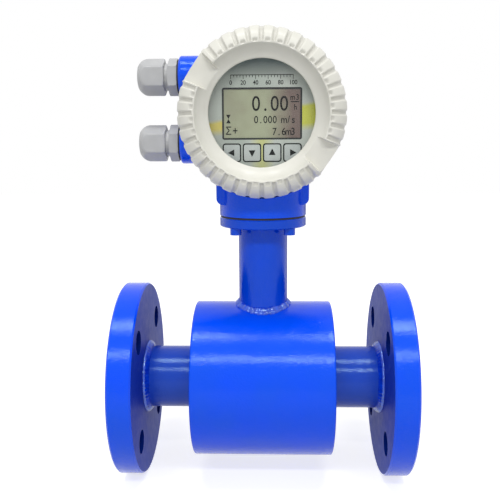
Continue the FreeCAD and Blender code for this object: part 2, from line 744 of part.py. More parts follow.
def cover(label, turn, windowed):
    """A cup-shaped cover that screws over the drum's end, with ribs and two spanner notches."""
    body = new_body(label, HEAD_AT, turn)
    side, rim = "cover_dia/2", "cover_rim_dia/2"
    crest, front = "crest_dia/2", "cover_front"
    half = "(oring_section/2 + slip_gap)"
    outside = [
        (THREAD_BORE, COVER_REAR), (f"{rim} - cover_rim_round", COVER_REAR, "cover_rim_round*1.01"),
        (rim, f"{COVER_REAR} + cover_rim_round"), (rim, RIM_END), (side, SIDE_START),
        (side, f"{front} - shoulder_height", "shoulder_radius"),
        (f"{crest} + crest_land", front)]
    window = [(crest, front, "-funnel_radius"), ("window_dia/2", f"{front} - window_depth"),
              ("window_dia/2", LIP_BACK), (GLASS_POCKET, LIP_BACK)]
    blind = [(crest, front), (GLASS_POCKET, f"{front} - blind_recess")]
    inside = [(GLASS_POCKET, INNER_STEP), (THREAD_BORE, INNER_STEP), (THREAD_BORE, f"{ORING_AT} + {half}"),
              (f"{ORING_RADIUS} + {half}", f"{ORING_AT} + {half}"),
              (f"{ORING_RADIUS} + {half}", f"{ORING_AT} - {half}"), (THREAD_BORE, f"{ORING_AT} - {half}")]
    turn_profile(body, outside + (window if windowed else blind) + inside)
    cut_ribs(body, windowed)
    cut_notches(body)


def blind_plate():
    """The closed middle of the rear cover, one casting with the ribbed ring round it."""
    body = new_body("rear_cover_plate", HEAD_AT, TO_REAR)
    disc = new_sketch(body, "XY", "cover_front - blind_recess - blind_plate_thk")
    circle(disc, "0", "0", f"2*{GLASS_POCKET}")
    extrude(body, "Pad", disc, "blind_plate_thk")


def cut_ribs(body, nicked):
    """Grooves over the shoulder and side, and a small nick at each rib's inner end."""
    root, deep = "(cover_dia/2 - rib_groove_depth)", "(cover_front - rib_groove_depth)"
    start = "(crest_dia/2 + crest_land)"
    section = new_sketch(body, "XZ")
    outline(section, [
        (start, "cover_front + 1"),
        (start, f"{deep} + rib_groove_run_in", "-shoulder_radius + rib_groove_sharper"),
        (root, "cover_front - shoulder_height"), (root, SIDE_START),
        ("cover_dia/2 + 2", SIDE_START), ("cover_dia/2 + 2", "cover_front + 1")])
    cuts = [extrude(body, "Pocket", section, "rib_groove_width", both=True)]
    if nicked:
        nick = new_sketch(body, "XY", "cover_front - rib_nick_depth", "180/rib_count")
        rectangle(nick, f"{start} + rib_nick_length/2 - rib_nick_overlap", "0",
                  "rib_nick_length", "rib_nick_width")
        cuts.append(extrude(body, "Pocket", nick, "rib_nick_depth + 1", back=True))
    repeat(body, cuts, "rib_count")


def cut_notches(body):
    """Two opposite spanner notches, flared to the rim, each with a flat on the cover's side."""
    inner, outer = "window_dia/2", "cover_dia/2 + 2"
    slot = new_sketch(body, "XY", "cover_front - notch_depth", "notch_angle")
    near, far = "notch_width/2", "notch_width/2 + notch_flare/2"
    outline(slot, [(inner, f"-{near}"), (outer, f"-({far})"), (outer, far), (inner, near)])
    slot_cut = extrude(body, "Pocket", slot, "notch_depth + 1", back=True)
    flat = new_sketch(body, "XY", RIM_END, "notch_angle")
    outline(flat, [("notch_flat", f"-({far})"), (outer, f"-({far})"), (outer, far), ("notch_flat", far)])
    flat_cut = extrude(body, "Pocket", flat, f"cover_front - {RIM_END} + 1", back=True)
    repeat(body, [slot_cut, flat_cut], "2")


def cover_oring(label, side):
    """The ring in the groove of a cover's bore."""
    ring = DOC.addObject("Part::Torus", label)
    bind(ring, "Radius1", ORING_RADIUS)
    bind(ring, "Radius2", "oring_section/2")
    place(ring, ("0", f"{side}*{ORING_AT}", "head_height"), TO_FRONT)
    piece(ring, label)


def window_set():
    """Gasket, glass and threaded retaining ring, stacked behind the cover's lip."""
    outer, edge = "glass_dia/2", "glass_chamfer"
    glass_front = f"({LIP_BACK} - window_gasket_thk)"
    glass_back = f"({glass_front} - glass_thk)"
    turned("window_gasket", [(f"{outer} - window_gasket_width", glass_front), (outer, glass_front),
                             (outer, LIP_BACK), (f"{outer} - window_gasket_width", LIP_BACK)],
           HEAD_AT, TO_FRONT)
    turned("window_glass", [("0", glass_back), (f"{outer} - {edge}", glass_back),
                            (outer, f"{glass_back} + {edge}"), (outer, f"{glass_front} - {edge}"),
                            (f"{outer} - {edge}", glass_front), ("0", glass_front)], HEAD_AT, TO_FRONT)
    low = f"{glass_back} - retainer_thk"
    turned("glass_retainer", [(f"{outer} - retainer_width", low), (outer, low), (outer, glass_back),
                              (f"{outer} - retainer_width", glass_back)], HEAD_AT, TO_FRONT)


# ---------------------------------------------------------------- display and electronics

FASCIA_FRONT = DRUM_END
FASCIA_BACK = f"({DRUM_END} - fascia_thk)"
MAIN_BOARD = f"({PARTITION_FRONT} + main_board_height)"
DISPLAY_BOARD = f"({PARTITION_FRONT} + display_board_height)"
SWITCH_TOP = f"({DISPLAY_BOARD} + board_thk + switch_thk)"
POWER_BOARD = f"({PARTITION_REAR} - power_board_height)"
KEYS = {"key_left": -1.5, "key_down": -0.5, "key_up": 0.5, "key_right": 1.5}


MAIN_CHIPS = [(-0.15, 0.1, 0.16, 0.16), (0.2, 0.15, 0.1, 0.14), (0.05, -0.2, 0.3, 0.1)]


def key_place(step):
    return f"{step}*key_pitch", "-key_drop"


def fascia():
    """The front plate with openings for the display and the four keys."""
    body = new_body("fascia", HEAD_AT, TO_FRONT)
    plate = new_sketch(body, "XY", FASCIA_BACK)
    circle(plate, "0", "0", "drum_bore - 2*seat_gap")
    rectangle(plate, "0", "lcd_rise", "lcd_width + 2*slip_gap", "lcd_height + 2*slip_gap", "lcd_corner")
    for step in KEYS.values():
        rectangle(plate, *key_place(step), "key_width + 2*seat_gap", "key_width + 2*seat_gap",
                  "key_corner + seat_gap")
    extrude(body, "Pad", plate, "fascia_thk")


def display():
    """The display panel in its black frame, standing on the display board."""
    frame = new_body("lcd_frame", HEAD_AT, TO_FRONT)
    panel_width, panel_height = "(lcd_width - 2*lcd_frame_width)", "(lcd_height - 2*lcd_frame_width)"
    start = f"({DISPLAY_BOARD} + board_thk)"
    ring = new_sketch(frame, "XY", start)
    rectangle(ring, "0", "lcd_rise", "lcd_width", "lcd_height", "lcd_corner")
    rectangle(ring, "0", "lcd_rise", panel_width, panel_height)
    extrude(frame, "Pad", ring, f"{FASCIA_FRONT} + slip_gap - {start}")
    panel = new_body("lcd_panel", HEAD_AT, TO_FRONT)
    block = new_sketch(panel, "XY", start)
    rectangle(block, "0", "lcd_rise", f"{panel_width} - 2*slip_gap", f"{panel_height} - 2*slip_gap")
    extrude(panel, "Pad", block, f"{FASCIA_FRONT} - lcd_recess - {start}")


def board(label, low, chips):
    """A round circuit board with its larger components, given as shares of the board's diameter."""
    body = new_body(label, HEAD_AT, TO_FRONT)
    disc = new_sketch(body, "XY", low)
    circle(disc, "0", "0", "board_dia")
    extrude(body, "Pad", disc, "board_thk")
    if not chips:
        return
    top = new_sketch(body, "XY", f"{low} + board_thk")
    for x, y, width, height in chips:
        rectangle(top, f"{x}*board_dia", f"{y}*board_dia", f"{width}*board_dia", f"{height}*board_dia")
    extrude(body, "Pad", top, "chip_thk")


def board_posts():
    """The round spacers between partition, boards and fascia, four to a level."""
    levels = [(PARTITION_FRONT, MAIN_BOARD), (f"{MAIN_BOARD} + board_thk", DISPLAY_BOARD),
              (f"{DISPLAY_BOARD} + board_thk", FASCIA_BACK), (f"{POWER_BOARD} + board_thk", PARTITION_REAR)]
    posts = []
    for level, (low, high) in enumerate(levels):
        for across in (-1, 1):
            for up in (-1, 1):
                at = (f"{across}*post_spread", f"-({low})", f"head_height + {up}*post_rise")
                name = f"post_{level}_{across}_{up}".replace("-", "m")
                posts.append(cylinder(name, "post_dia/2", f"({high}) - ({low})", at, TO_FRONT))
    group = DOC.addObject("Part::Compound", "board_posts")
    group.Links = posts
    piece(group, "board_posts")


def key(label, step):
    """A push key: cap through the fascia, flange behind it and a stem over its switch."""
    body = new_body(label, HEAD_AT, TO_FRONT)
    x, y = key_place(step)
    flange_top = f"({FASCIA_BACK} - seat_gap)"
    flange_low = f"({flange_top} - key_flange_thk)"
    flange = new_sketch(body, "XY", flange_low)
    rectangle(flange, x, y, "key_width + 2*key_flange", "key_width + 2*key_flange", "key_corner")
    extrude(body, "Pad", flange, "key_flange_thk")
    cap = new_sketch(body, "XY", flange_top)
    rectangle(cap, x, y, "key_width", "key_width", "key_corner")
    extrude(body, "Pad", cap, f"{FASCIA_FRONT} + key_proud - {flange_top}")
    stem = new_sketch(body, "XY", flange_low)
    circle(stem, x, y, "key_stem_dia")
    extrude(body, "Pad", stem, f"{flange_low} - {SWITCH_TOP} - key_travel - slip_gap", back=True)


def key_switches():
    """The four small switches on the display board, one under each key's stem."""
    body = new_body("key_switches", HEAD_AT, TO_FRONT)
    base = new_sketch(body, "XY", f"{DISPLAY_BOARD} + board_thk")
    for step in KEYS.values():
        rectangle(base, *key_place(step), "switch_width", "switch_width")
    extrude(body, "Pad", base, "switch_thk")


def terminal_block():
    """The row of wire terminals on the rear side of the power board."""
    body = new_body("terminal_block", HEAD_AT, TO_REAR)
    seat = f"(-{POWER_BOARD})"
    block = new_sketch(body, "XY", seat)
    rectangle(block, "0", "0", "terminal_length", "terminal_height")
    extrude(body, "Pad", block, "terminal_depth")
    step = "terminal_length/terminal_count"
    holes = new_sketch(body, "XY", f"{seat} + terminal_depth")
    for index in range(int(SIZES["terminal_count"])):
        circle(holes, f"({index} + 0.5)*{step} - terminal_length/2", "0", "terminal_hole_dia")
    extrude(body, "Pocket", holes, "terminal_depth/2")


# ---------------------------------------------------------------- cable glands

COLLAR_TOP = "(gland_washer_thk + gland_collar)"
CAGE_TOP = f"({COLLAR_TOP} + gland_cage_length)"
CAGE_RADIUS = "(gland_thread_dia/2)"
SEAL_RADIUS = f"({CAGE_RADIUS} - gland_cage_wall - seat_gap)"
SEAL_LOW = f"({COLLAR_TOP} + gland_chamfer)"
SEAL_TOP = f"({SEAL_LOW} + seal_length)"
NUT_LOW = f"({COLLAR_TOP} + nut_gap)"
SKIRT_TOP = f"({NUT_LOW} + nut_skirt)"
NUT_TOP = f"({SKIRT_TOP} + nut_dome)"
HEX_CORNER = "(gland_hex/2/cos(30))"


def hex_flats(body, low, length):
    """Mill a hexagon's six flats on a round piece."""
    ring = new_sketch(body, "XY", low)
    circle(ring, "0", "0", "gland_hex*1.5")
    hexagon(ring, "gland_hex")
    extrude(body, "Pocket", ring, length, back=True)


def gland(level, rise):
    """One nylon cable gland: flat washer, body with hexagon collar, rubber seal and domed nut."""
    at = ("-boss_reach", "0", f"head_height + {rise}")
    turned(f"gland_washer_{level}", [
        ("gland_thread_dia/2 + slip_gap", "0"), ("gland_washer_dia/2", "0"),
        ("gland_washer_dia/2", "gland_washer_thk"), ("gland_thread_dia/2 + slip_gap", "gland_washer_thk")],
        at, AGAINST_X)
    body = new_body(f"gland_body_{level}", at, AGAINST_X)
    bore, bevel, cage = "gland_bore/2", "gland_chamfer", CAGE_RADIUS
    turn_profile(body, [
        (bore, "-gland_thread_length"), (f"{cage} - {bevel}", "-gland_thread_length"),
        (cage, f"-gland_thread_length + {bevel}"), (cage, "gland_washer_thk"),
        (f"{HEX_CORNER} - {bevel}", "gland_washer_thk"), (HEX_CORNER, f"gland_washer_thk + {bevel}/2"),
        (HEX_CORNER, f"{COLLAR_TOP} - {bevel}/2"), (f"{HEX_CORNER} - {bevel}", COLLAR_TOP),
        (cage, COLLAR_TOP), (cage, CAGE_TOP), (f"{cage} - gland_cage_wall", CAGE_TOP),
        (f"{cage} - gland_cage_wall", COLLAR_TOP), (bore, COLLAR_TOP)])
    hex_flats(body, "gland_washer_thk", "gland_collar")
    turned(f"gland_seal_{level}", [("seal_bore/2", SEAL_LOW), (SEAL_RADIUS, SEAL_LOW),
                                   (SEAL_RADIUS, f"{SEAL_TOP} - seal_taper_length"),
                                   (f"{SEAL_RADIUS} - seal_taper", SEAL_TOP),
                                   ("seal_bore/2", SEAL_TOP)], at, AGAINST_X)
    dome_nut(f"gland_nut_{level}", at)


def dome_nut(label, at):
    """The clamping nut: six flats that run out into a rounded end with a round mouth."""
    body = new_body(label, at, AGAINST_X)
    bore, throat = f"({CAGE_RADIUS} + seat_gap)", "nut_mouth/2"
    lip = "(nut_mouth/2 + nut_lip)"
    turn_profile(body, [
        (bore, NUT_LOW), (f"{HEX_CORNER} - gland_chamfer", NUT_LOW),
        (HEX_CORNER, f"{NUT_LOW} + gland_chamfer"), (HEX_CORNER, SKIRT_TOP, "nut_dome_radius"),
        (lip, NUT_TOP), (throat, NUT_TOP),
        (throat, f"{SEAL_TOP} + seat_gap"), (bore, f"{CAGE_TOP} + 1")])
    hex_flats(body, NUT_LOW, "nut_skirt + nut_dome")


# ---------------------------------------------------------------- the whole meter

def build():
    """Make every sub-part, in the order that the meter is put together."""
    fill_sheet()
    for end, side in (("inlet", -1), ("outlet", 1)):
        pipe_flange(f"flange_{end}", side)
        corner_weld(f"flange_weld_{end}", side, FLANGE_INNER, outwards=False)
        end_plate(f"end_plate_{end}", side)
        corner_weld(f"plate_weld_{end}", side, PLATE_FACE, outwards=True)
    measuring_pipe()
    liner()
    liner_flare("liner_flare_inlet", AGAINST_X)
    liner_flare("liner_flare_outlet", ALONG_X)
    coil_housing()
    for level, turn in (("upper", FreeCAD.Rotation()), ("lower", UPSIDE_DOWN)):
        pole_shoe(f"pole_shoe_{level}", turn)
        coil(f"coil_{level}", turn)
    yoke()
    for end, turn in (("front", TO_FRONT), ("rear", TO_REAR)):
        electrode(end, turn)
    electrode_nuts()
    neck_tube()
    neck_weld()
    neck_flange()
    neck_gasket()
    neck_screws()
    transmitter_housing()
    cover("front_cover", TO_FRONT, windowed=True)
    cover("rear_cover", TO_REAR, windowed=False)
    blind_plate()
    cover_oring("front_cover_oring", -1)
    cover_oring("rear_cover_oring", 1)
    window_set()
    fascia()
    display()
    board("main_board", MAIN_BOARD, MAIN_CHIPS)
    board("display_board", DISPLAY_BOARD, [])
    board("power_board", POWER_BOARD, [])
    board_posts()
    for label, step in KEYS.items():
        key(label, step)
    key_switches()
    terminal_block()
    gland("upper", "gland_rise")
    gland("lower", "-gland_drop")
    DOC.recompute()


def check_document():
    """Stop if a feature failed, a cut took nothing away, or a piece is no valid solid."""
    faults = []
    for item in DOC.Objects:
        if {"Invalid", "Error"} & set(item.State):
            faults.append(f"{item.Name}: {item.State}")
        if item.TypeId in ("PartDesign::Pocket", "PartDesign::Groove") and \
                item.Shape.Volume > item.BaseFeature.Shape.Volume - LEAST_CUT:
            faults.append(f"{item.getParentGeoFeatureGroup().Label}, {item.Name}: cuts nothing")
    for item in PIECES:
        if item.Shape.isNull() or not item.Shape.isValid() or not item.Shape.Solids:
            faults.append(f"{item.Label}: bad solid")
    if faults:
        raise RuntimeError("; ".join(faults))


def export():
    """Write one STEP file for each sub-part."""
    os.makedirs("parts", exist_ok=True)
    for item in PIECES:
        item.Shape.exportStep(f"parts/{item.Label}.step")
        print(f"{item.Label}: {len(item.Shape.Solids)} solids, {item.Shape.Volume:.0f} mm3")


build()
check_document()
export()
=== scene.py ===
"""Looks of the electromagnetic flow meter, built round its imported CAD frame.

Lengths are metres. Pieces are modelled in the frame's own place: +X along the flow, -Y to the display, +Z up.
"""
import math

import bmesh
import bpy
from mathutils import Matrix, Vector, noise

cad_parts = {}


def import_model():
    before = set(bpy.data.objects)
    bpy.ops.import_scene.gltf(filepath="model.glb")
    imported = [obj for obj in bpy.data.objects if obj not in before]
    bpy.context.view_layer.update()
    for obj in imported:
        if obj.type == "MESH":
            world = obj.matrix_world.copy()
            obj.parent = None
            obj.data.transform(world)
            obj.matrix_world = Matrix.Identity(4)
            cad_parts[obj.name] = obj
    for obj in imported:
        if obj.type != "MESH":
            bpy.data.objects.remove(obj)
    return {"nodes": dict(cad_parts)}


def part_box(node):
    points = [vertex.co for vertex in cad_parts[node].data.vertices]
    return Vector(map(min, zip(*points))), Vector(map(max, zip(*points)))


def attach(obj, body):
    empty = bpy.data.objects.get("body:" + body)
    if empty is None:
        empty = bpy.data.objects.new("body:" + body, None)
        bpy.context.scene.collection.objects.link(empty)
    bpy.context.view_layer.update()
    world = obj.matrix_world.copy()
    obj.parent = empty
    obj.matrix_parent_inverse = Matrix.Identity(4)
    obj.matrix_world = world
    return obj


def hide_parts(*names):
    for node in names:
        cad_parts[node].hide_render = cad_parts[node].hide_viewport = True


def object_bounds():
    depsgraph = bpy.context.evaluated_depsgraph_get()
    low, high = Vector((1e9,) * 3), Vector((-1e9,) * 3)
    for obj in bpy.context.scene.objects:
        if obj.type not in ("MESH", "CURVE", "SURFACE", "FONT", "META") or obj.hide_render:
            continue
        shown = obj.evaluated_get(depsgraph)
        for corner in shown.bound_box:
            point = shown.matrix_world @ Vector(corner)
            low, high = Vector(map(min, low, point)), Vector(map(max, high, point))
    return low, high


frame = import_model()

MM = 0.001
CAD_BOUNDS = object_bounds()
NODES = frame["nodes"]
X, Y, Z = Vector((1, 0, 0)), Vector((0, 1, 0)), Vector((0, 0, 1))


def span(node):
    """Low corner, high corner and middle of a CAD node."""
    low, high = (Vector(corner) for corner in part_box(node))
    return low, high, (low + high) / 2


# ---------------------------------------------------------------- places and sizes read from the frame

# fronts and rears of the head's parts are distances forward of the neck's axis
HEAD = Vector((0, 0, span("window_glass")[2].z))      # where the covers' axis crosses the neck's
COVER_RADIUS = (span("front_cover")[1].x - span("front_cover")[0].x) / 2
COVER_FRONT = -span("front_cover")[0].y
COVER_REAR = -span("front_cover")[1].y
GLASS_RADIUS = (span("window_glass")[1].x - span("window_glass")[0].x) / 2
FASCIA_FRONT = -span("fascia")[0].y
HOUSING_RADIUS = span("coil_housing")[1].z
HOUSING_END = span("coil_housing")[1].x
PIPE_RADIUS = span("measuring_pipe")[1].z
NECK_RADIUS = span("neck_tube")[1].x
FLANGE_RADIUS = span("flange_outlet")[1].z

# sizes of the covers that a box can't give
RIM_RADIUS, RIM_WIDTH = 58.4 * MM, 6 * MM
RIM_ROUND, RIM_ARC, RIM_SLOPE = 0.8 * MM, 0.82 * MM, 1.5 * MM
CREST_RADIUS, CREST_LAND = 46.25 * MM, 1.6 * MM
CREST_EDGE = ((0.5 * MM, 0), (0.12 * MM, 0.15 * MM), (0, 0.35 * MM))      # its inner round: outwards, back
WINDOW_RADIUS, WINDOW_DEPTH, LIP = 37.25 * MM, 9 * MM, 2 * MM
LIP_CHAMFER = (0.2 * MM, 0.3 * MM)
SHOULDER, SHOULDER_ARC, FUNNEL_ARC, BLIND_ARC = 10 * MM, 14 * MM, 22 * MM, 6 * MM
THREAD_BORE = 50.1 * MM
SEAT_GAP = 0.3 * MM
RIB_COUNT, GROOVE_WIDTH, GROOVE_DEPTH = 36, 2.7 * MM, 1.35 * MM
GROOVE_SOFTNESS, EDGE_SOFTNESS = 0.9 * MM, 0.5 * MM
NICK_WIDTH, NICK_LENGTH, NICK_DEPTH = 3.4 * MM, 2.1 * MM, 1.0 * MM
NICK_START = CREST_RADIUS + CREST_LAND - 0.6 * MM
NOTCH_ANGLE, NOTCH_HALF, NOTCH_DEPTH = math.radians(146), math.radians(11.1), 6.5 * MM
NOTCH_FLAT = 57.2 * MM
BLIND_RECESS, BLIND_PLATE = 3 * MM, 5 * MM

# a groove loses this share of its depth on its way down the side
FADE, FADE_START, FADE_LENGTH = 0.6, COVER_FRONT - 4 * MM, (COVER_FRONT - COVER_REAR) / 3

# widths of the ribs' edges as angles
RIB_PITCH = 2 * math.pi / RIB_COUNT
RIB_RADIUS = (CREST_RADIUS + COVER_RADIUS) / 2      # where grooves and nicks have their width
GROOVE_HALF, NICK_HALF = GROOVE_WIDTH / 2 / RIB_RADIUS, NICK_WIDTH / 2 / RIB_RADIUS
GROOVE_RAMP, EDGE_RAMP = GROOVE_SOFTNESS / COVER_RADIUS, EDGE_SOFTNESS / COVER_RADIUS


# ---------------------------------------------------------------- materials

def srgb(red, green, blue):
    """A colour given as 0..255 screen values, in linear light."""
    def linear(part):
        part /= 255
        return part / 12.92 if part <= 0.04045 else ((part + 0.055) / 1.055) ** 2.4
    return (linear(red), linear(green), linear(blue), 1.0)


class Finish:
    """A node material under construction."""

    def __init__(self, name, colour, roughness, **values):
        self.material = bpy.data.materials.new(name)
        self.material.use_nodes = True
        self.tree = self.material.node_tree
        self.shader = self.tree.nodes["Principled BSDF"]
        self.shader.inputs["Base Color"].default_value = colour
        self.shader.inputs["Roughness"].default_value = roughness
        for socket, value in values.items():
            self.shader.inputs[socket.replace("_", " ")].default_value = value
        self.place = self.node("ShaderNodeTexCoord").outputs["Object"]
        self.relief = None

    def node(self, kind, **settings):
        item = self.tree.nodes.new(kind)
        for key, value in settings.items():
            setattr(item, key, value)
        return item

    def join(self, source, target):
        self.tree.links.new(source, target)

    def noise(self, scale, detail=2.0, stretch=None):
        """Noise in object space; scale is in lumps to a metre."""
        item = self.node("ShaderNodeTexNoise")
        item.inputs["Scale"].default_value = scale
        item.inputs["Detail"].default_value = detail
        place = self.place
        if stretch:
            scaled = self.node("ShaderNodeMapping")
            scaled.inputs["Scale"].default_value = stretch
            self.join(place, scaled.inputs["Vector"])
            place = scaled.outputs["Vector"]
        self.join(place, item.inputs["Vector"])
        return item.outputs["Fac"]

    def maths(self, operation, *values):
        """The result of a maths operation on values, each a float or another node's output."""
        item = self.node("ShaderNodeMath", operation=operation)
        for socket, value in zip(item.inputs, values):
            if isinstance(value, float):
                socket.default_value = value
            else:
                self.join(value, socket)
        return item.outputs["Value"]

    def axis(self, name, source):
        """One component of a vector."""
        split = self.node("ShaderNodeSeparateXYZ")
        self.join(source, split.inputs["Vector"])
        return split.outputs[name]

    def spread(self, source, low, high, start=0.3, end=0.7):
        """Map a value's middle range to low..high."""
        item = self.node("ShaderNodeMapRange")
        item.inputs["From Min"].default_value = start
        item.inputs["From Max"].default_value = end
        item.inputs["To Min"].default_value = low
        item.inputs["To Max"].default_value = high
        self.join(source, item.inputs["Value"])
        return item.outputs["Result"]

    def blend(self, factor, first, second):
        """Mix two colours, each a fixed colour or another node's output."""
        item = self.node("ShaderNodeMix", data_type="RGBA")
        self.join(factor, item.inputs["Factor"])
        for socket, colour in ((item.inputs["A"], first), (item.inputs["B"], second)):
            if isinstance(colour, tuple):
                socket.default_value = colour
            else:
                self.join(colour, socket)
        return item.outputs["Result"]

    def colour(self, source):
        self.join(source, self.shader.inputs["Base Color"])
        return self

    def mottle(self, scale, other, most=1.0):
        """Vary the colour slowly towards another one."""
        own = tuple(self.shader.inputs["Base Color"].default_value)
        return self.colour(self.blend(self.spread(self.noise(scale), 0.0, most), own, other))

    def tint(self, factor, other):
        """Lay another colour over the present one where the factor is high."""
        present = self.shader.inputs["Base Color"].links[0].from_socket
        return self.colour(self.blend(factor, present, other))

    def gloss(self, scale, low, high):
        """Vary the roughness."""
        self.join(self.spread(self.noise(scale, 3.0), low, high), self.shader.inputs["Roughness"])
        return self

    def bump(self, scale, depth, detail=2.0, stretch=None):
        """Add fine relief; depth is in metres. Several bumps stack."""
        item = self.node("ShaderNodeBump")
        item.inputs["Strength"].default_value = 1.0
        item.inputs["Distance"].default_value = depth
        self.join(self.noise(scale, detail, stretch=stretch), item.inputs["Height"])
        if self.relief is not None:
            self.join(self.relief, item.inputs["Normal"])
        self.relief = item.outputs["Normal"]
        self.join(self.relief, self.shader.inputs["Normal"])
        return self


def darker(colour, share):
    return tuple(part * share for part in colour[:3]) + (1.0,)


CYAN = (0.62, 0.95, 1.0, 1.0)


def blue_enamel(name="blue_enamel", colour=(0, 78, 254), shade=(4, 82, 240), painted_shade_radius=None):
    """Sprayed enamel with orange peel, dull on the faces square to the pipe, which painted shade also
    darkens.

    Walls that run along the pipe closer to its axis than the radius given, as in bolt holes, get painted
    shade.
    """
    paint = Finish(name, srgb(*colour), 0.14, Specular_IOR_Level=0.3, Specular_Tint=CYAN)
    paint.mottle(28, srgb(*shade), 0.8)
    facing = paint.axis("X", paint.node("ShaderNodeTexCoord").outputs["Normal"])
    dull_and_shaded = paint.spread(paint.maths("ABSOLUTE", facing), 0.0, 1.0, 0.9, 0.99)
    glossy = paint.spread(paint.noise(160, 3.0), 0.1, 0.19)
    paint.join(paint.maths("MULTIPLY_ADD", dull_and_shaded, 0.4, glossy), paint.shader.inputs["Roughness"])
    if painted_shade_radius:
        section = paint.node("ShaderNodeVectorMath", operation="MULTIPLY")
        paint.join(paint.place, section.inputs[0])
        section.inputs[1].default_value = (0, 1, 1)
        reach = paint.node("ShaderNodeVectorMath", operation="LENGTH")
        paint.join(section.outputs["Vector"], reach.inputs[0])
        # painted shade on the walls near the pipe's axis, as in the bolt holes
        painted_hole_shade = paint.spread(reach.outputs["Value"], 1.0, 0.0, painted_shade_radius - 1 * MM, painted_shade_radius)
        paint.tint(painted_hole_shade, srgb(6, 34, 120))
    # painted shade: the faces square to the pipe are darkened as well as dulled
    return paint.tint(dull_and_shaded, srgb(14, 50, 176)).bump(60, 0.0002).bump(700, 0.00013)


def weld_enamel():
    paint = Finish("weld_enamel", srgb(2, 72, 236), 0.08, Specular_IOR_Level=1.0, Specular_Tint=CYAN,
                   Coat_Weight=0.25)
    paint.mottle(220, srgb(8, 52, 200))
    return paint.bump(600, 0.00022, 4.0)


def cover_enamel():
    """Light enamel with painted shade in the grooves and nicks, where the cover's own attribute is high."""
    paint = Finish("cover_enamel", srgb(229, 228, 219), 0.42, Coat_Weight=0.15, Coat_Roughness=0.2)
    paint.mottle(60, srgb(222, 221, 211))
    paint.gloss(300, 0.36, 0.5)
    paint.bump(900, 0.00003, 4.0)
    hollow = paint.node("ShaderNodeAttribute", attribute_name="hollow").outputs["Fac"]
    # painted shade: the grooves and nicks are darkened towards grey
    return paint.tint(paint.spread(hollow, 0.0, 0.3, 0.0, 1.0), srgb(150, 148, 140))


def grey_nylon():
    nylon = Finish("grey_nylon", srgb(188, 189, 190), 0.38, Subsurface_Weight=0.08)
    nylon.shader.inputs["Subsurface Radius"].default_value = (0.002, 0.002, 0.002)
    nylon.mottle(90, srgb(180, 181, 182))
    return nylon.gloss(500, 0.32, 0.46).bump(1500, 0.00002, 3.0)


def metal(name, colour, roughness):
    """Bare metal, finely drawn along one direction."""
    steel = Finish(name, colour, roughness, Metallic=1.0)
    steel.mottle(140, darker(colour, 0.86))
    return steel.bump(900, 0.00002, 3.0, stretch=(1, 1, 6))


def plastic(name, colour, roughness):
    """A moulding with a fine grain."""
    moulding = Finish(name, colour, roughness)
    moulding.mottle(120, darker(colour, 0.9))
    return moulding.bump(1100, 0.00002, 3.0)


def ink(name, colour):
    """Flat printing ink."""
    film = plastic(name, colour, 0.6)
    film.shader.inputs["Specular IOR Level"].default_value = 0.1
    return film


def window_glass():
    glass = Finish("window_glass", srgb(128, 140, 138), 0.03, Alpha=0.05, Coat_Weight=1.0)
    return glass.gloss(40, 0.02, 0.05)


def circuit_board():
    mask = plastic("circuit_board", srgb(22, 92, 52), 0.3)
    return mask.bump(2600, 0.00006, 1.0)


def label_film():
    """A silvery label film, printed with a soft yellow sweep and darkened towards its top edge by a painted
    shadow of the cover's rim.
    """
    film = Finish("label_film", srgb(186, 202, 202), 0.34, Coat_Weight=0.3, Coat_Roughness=0.15)
    across, up = film.axis("X", film.place), film.axis("Z", film.place)

    def above(slope, low, high):
        """0 below a slanting line across the film and 1 above it; heights are from the head's axis."""
        slant = film.maths("MULTIPLY_ADD", across, -slope, up)
        return film.spread(slant, 0.0, 1.0, HEAD.z + low, HEAD.z + high)

    sheen = film.spread(film.noise(22, stretch=(1, 1, 0.25)), 0.0, 1.0, 0.35, 0.65)
    tone = film.blend(sheen, srgb(192, 202, 192), srgb(238, 242, 234))
    # painted shadow of the cover's rim, darker towards the top of the label
    rim_shadow = film.spread(up, 0.0, 1.0, HEAD.z + 26 * MM, HEAD.z + 36 * MM)
    tone = film.blend(rim_shadow, tone, srgb(120, 134, 134))
    under = film.maths("SUBTRACT", 1.0, above(0.184, -0.5 * MM, 2 * MM))
    sweep = film.maths("MULTIPLY", under, above(0.06, -13.5 * MM, -8.5 * MM))
    side = film.spread(across, 0.0, 1.0, -30 * MM, 30 * MM)
    tone = film.blend(sweep, tone, film.blend(side, srgb(238, 222, 116), srgb(226, 230, 84)))
    patch = film.maths("MULTIPLY",
                       film.spread(film.maths("ABSOLUTE", across), 0.75, 0.0, 1 * MM, 9 * MM),
                       film.spread(up, 1.0, 0.0, HEAD.z - 16 * MM, HEAD.z - 12 * MM))
    return film.colour(film.blend(patch, tone, srgb(224, 226, 124))).bump(2000, 0.00001)


def display_film():
    """The reflective grey-green of a display that is lit from in front, browner to one corner."""
    film = Finish("display_film", srgb(168, 176, 138), 0.22, Coat_Weight=0.5, Coat_Roughness=0.05)
    cloud = film.spread(film.noise(45), -0.25, 0.25)
    side = film.spread(film.axis("X", film.place), 0.0, 1.0, 2 * MM, 22 * MM)
    tone = film.blend(film.maths("ADD", side, cloud), srgb(184, 190, 156), srgb(126, 104, 96))
    return film.colour(tone).bump(3000, 0.000005)


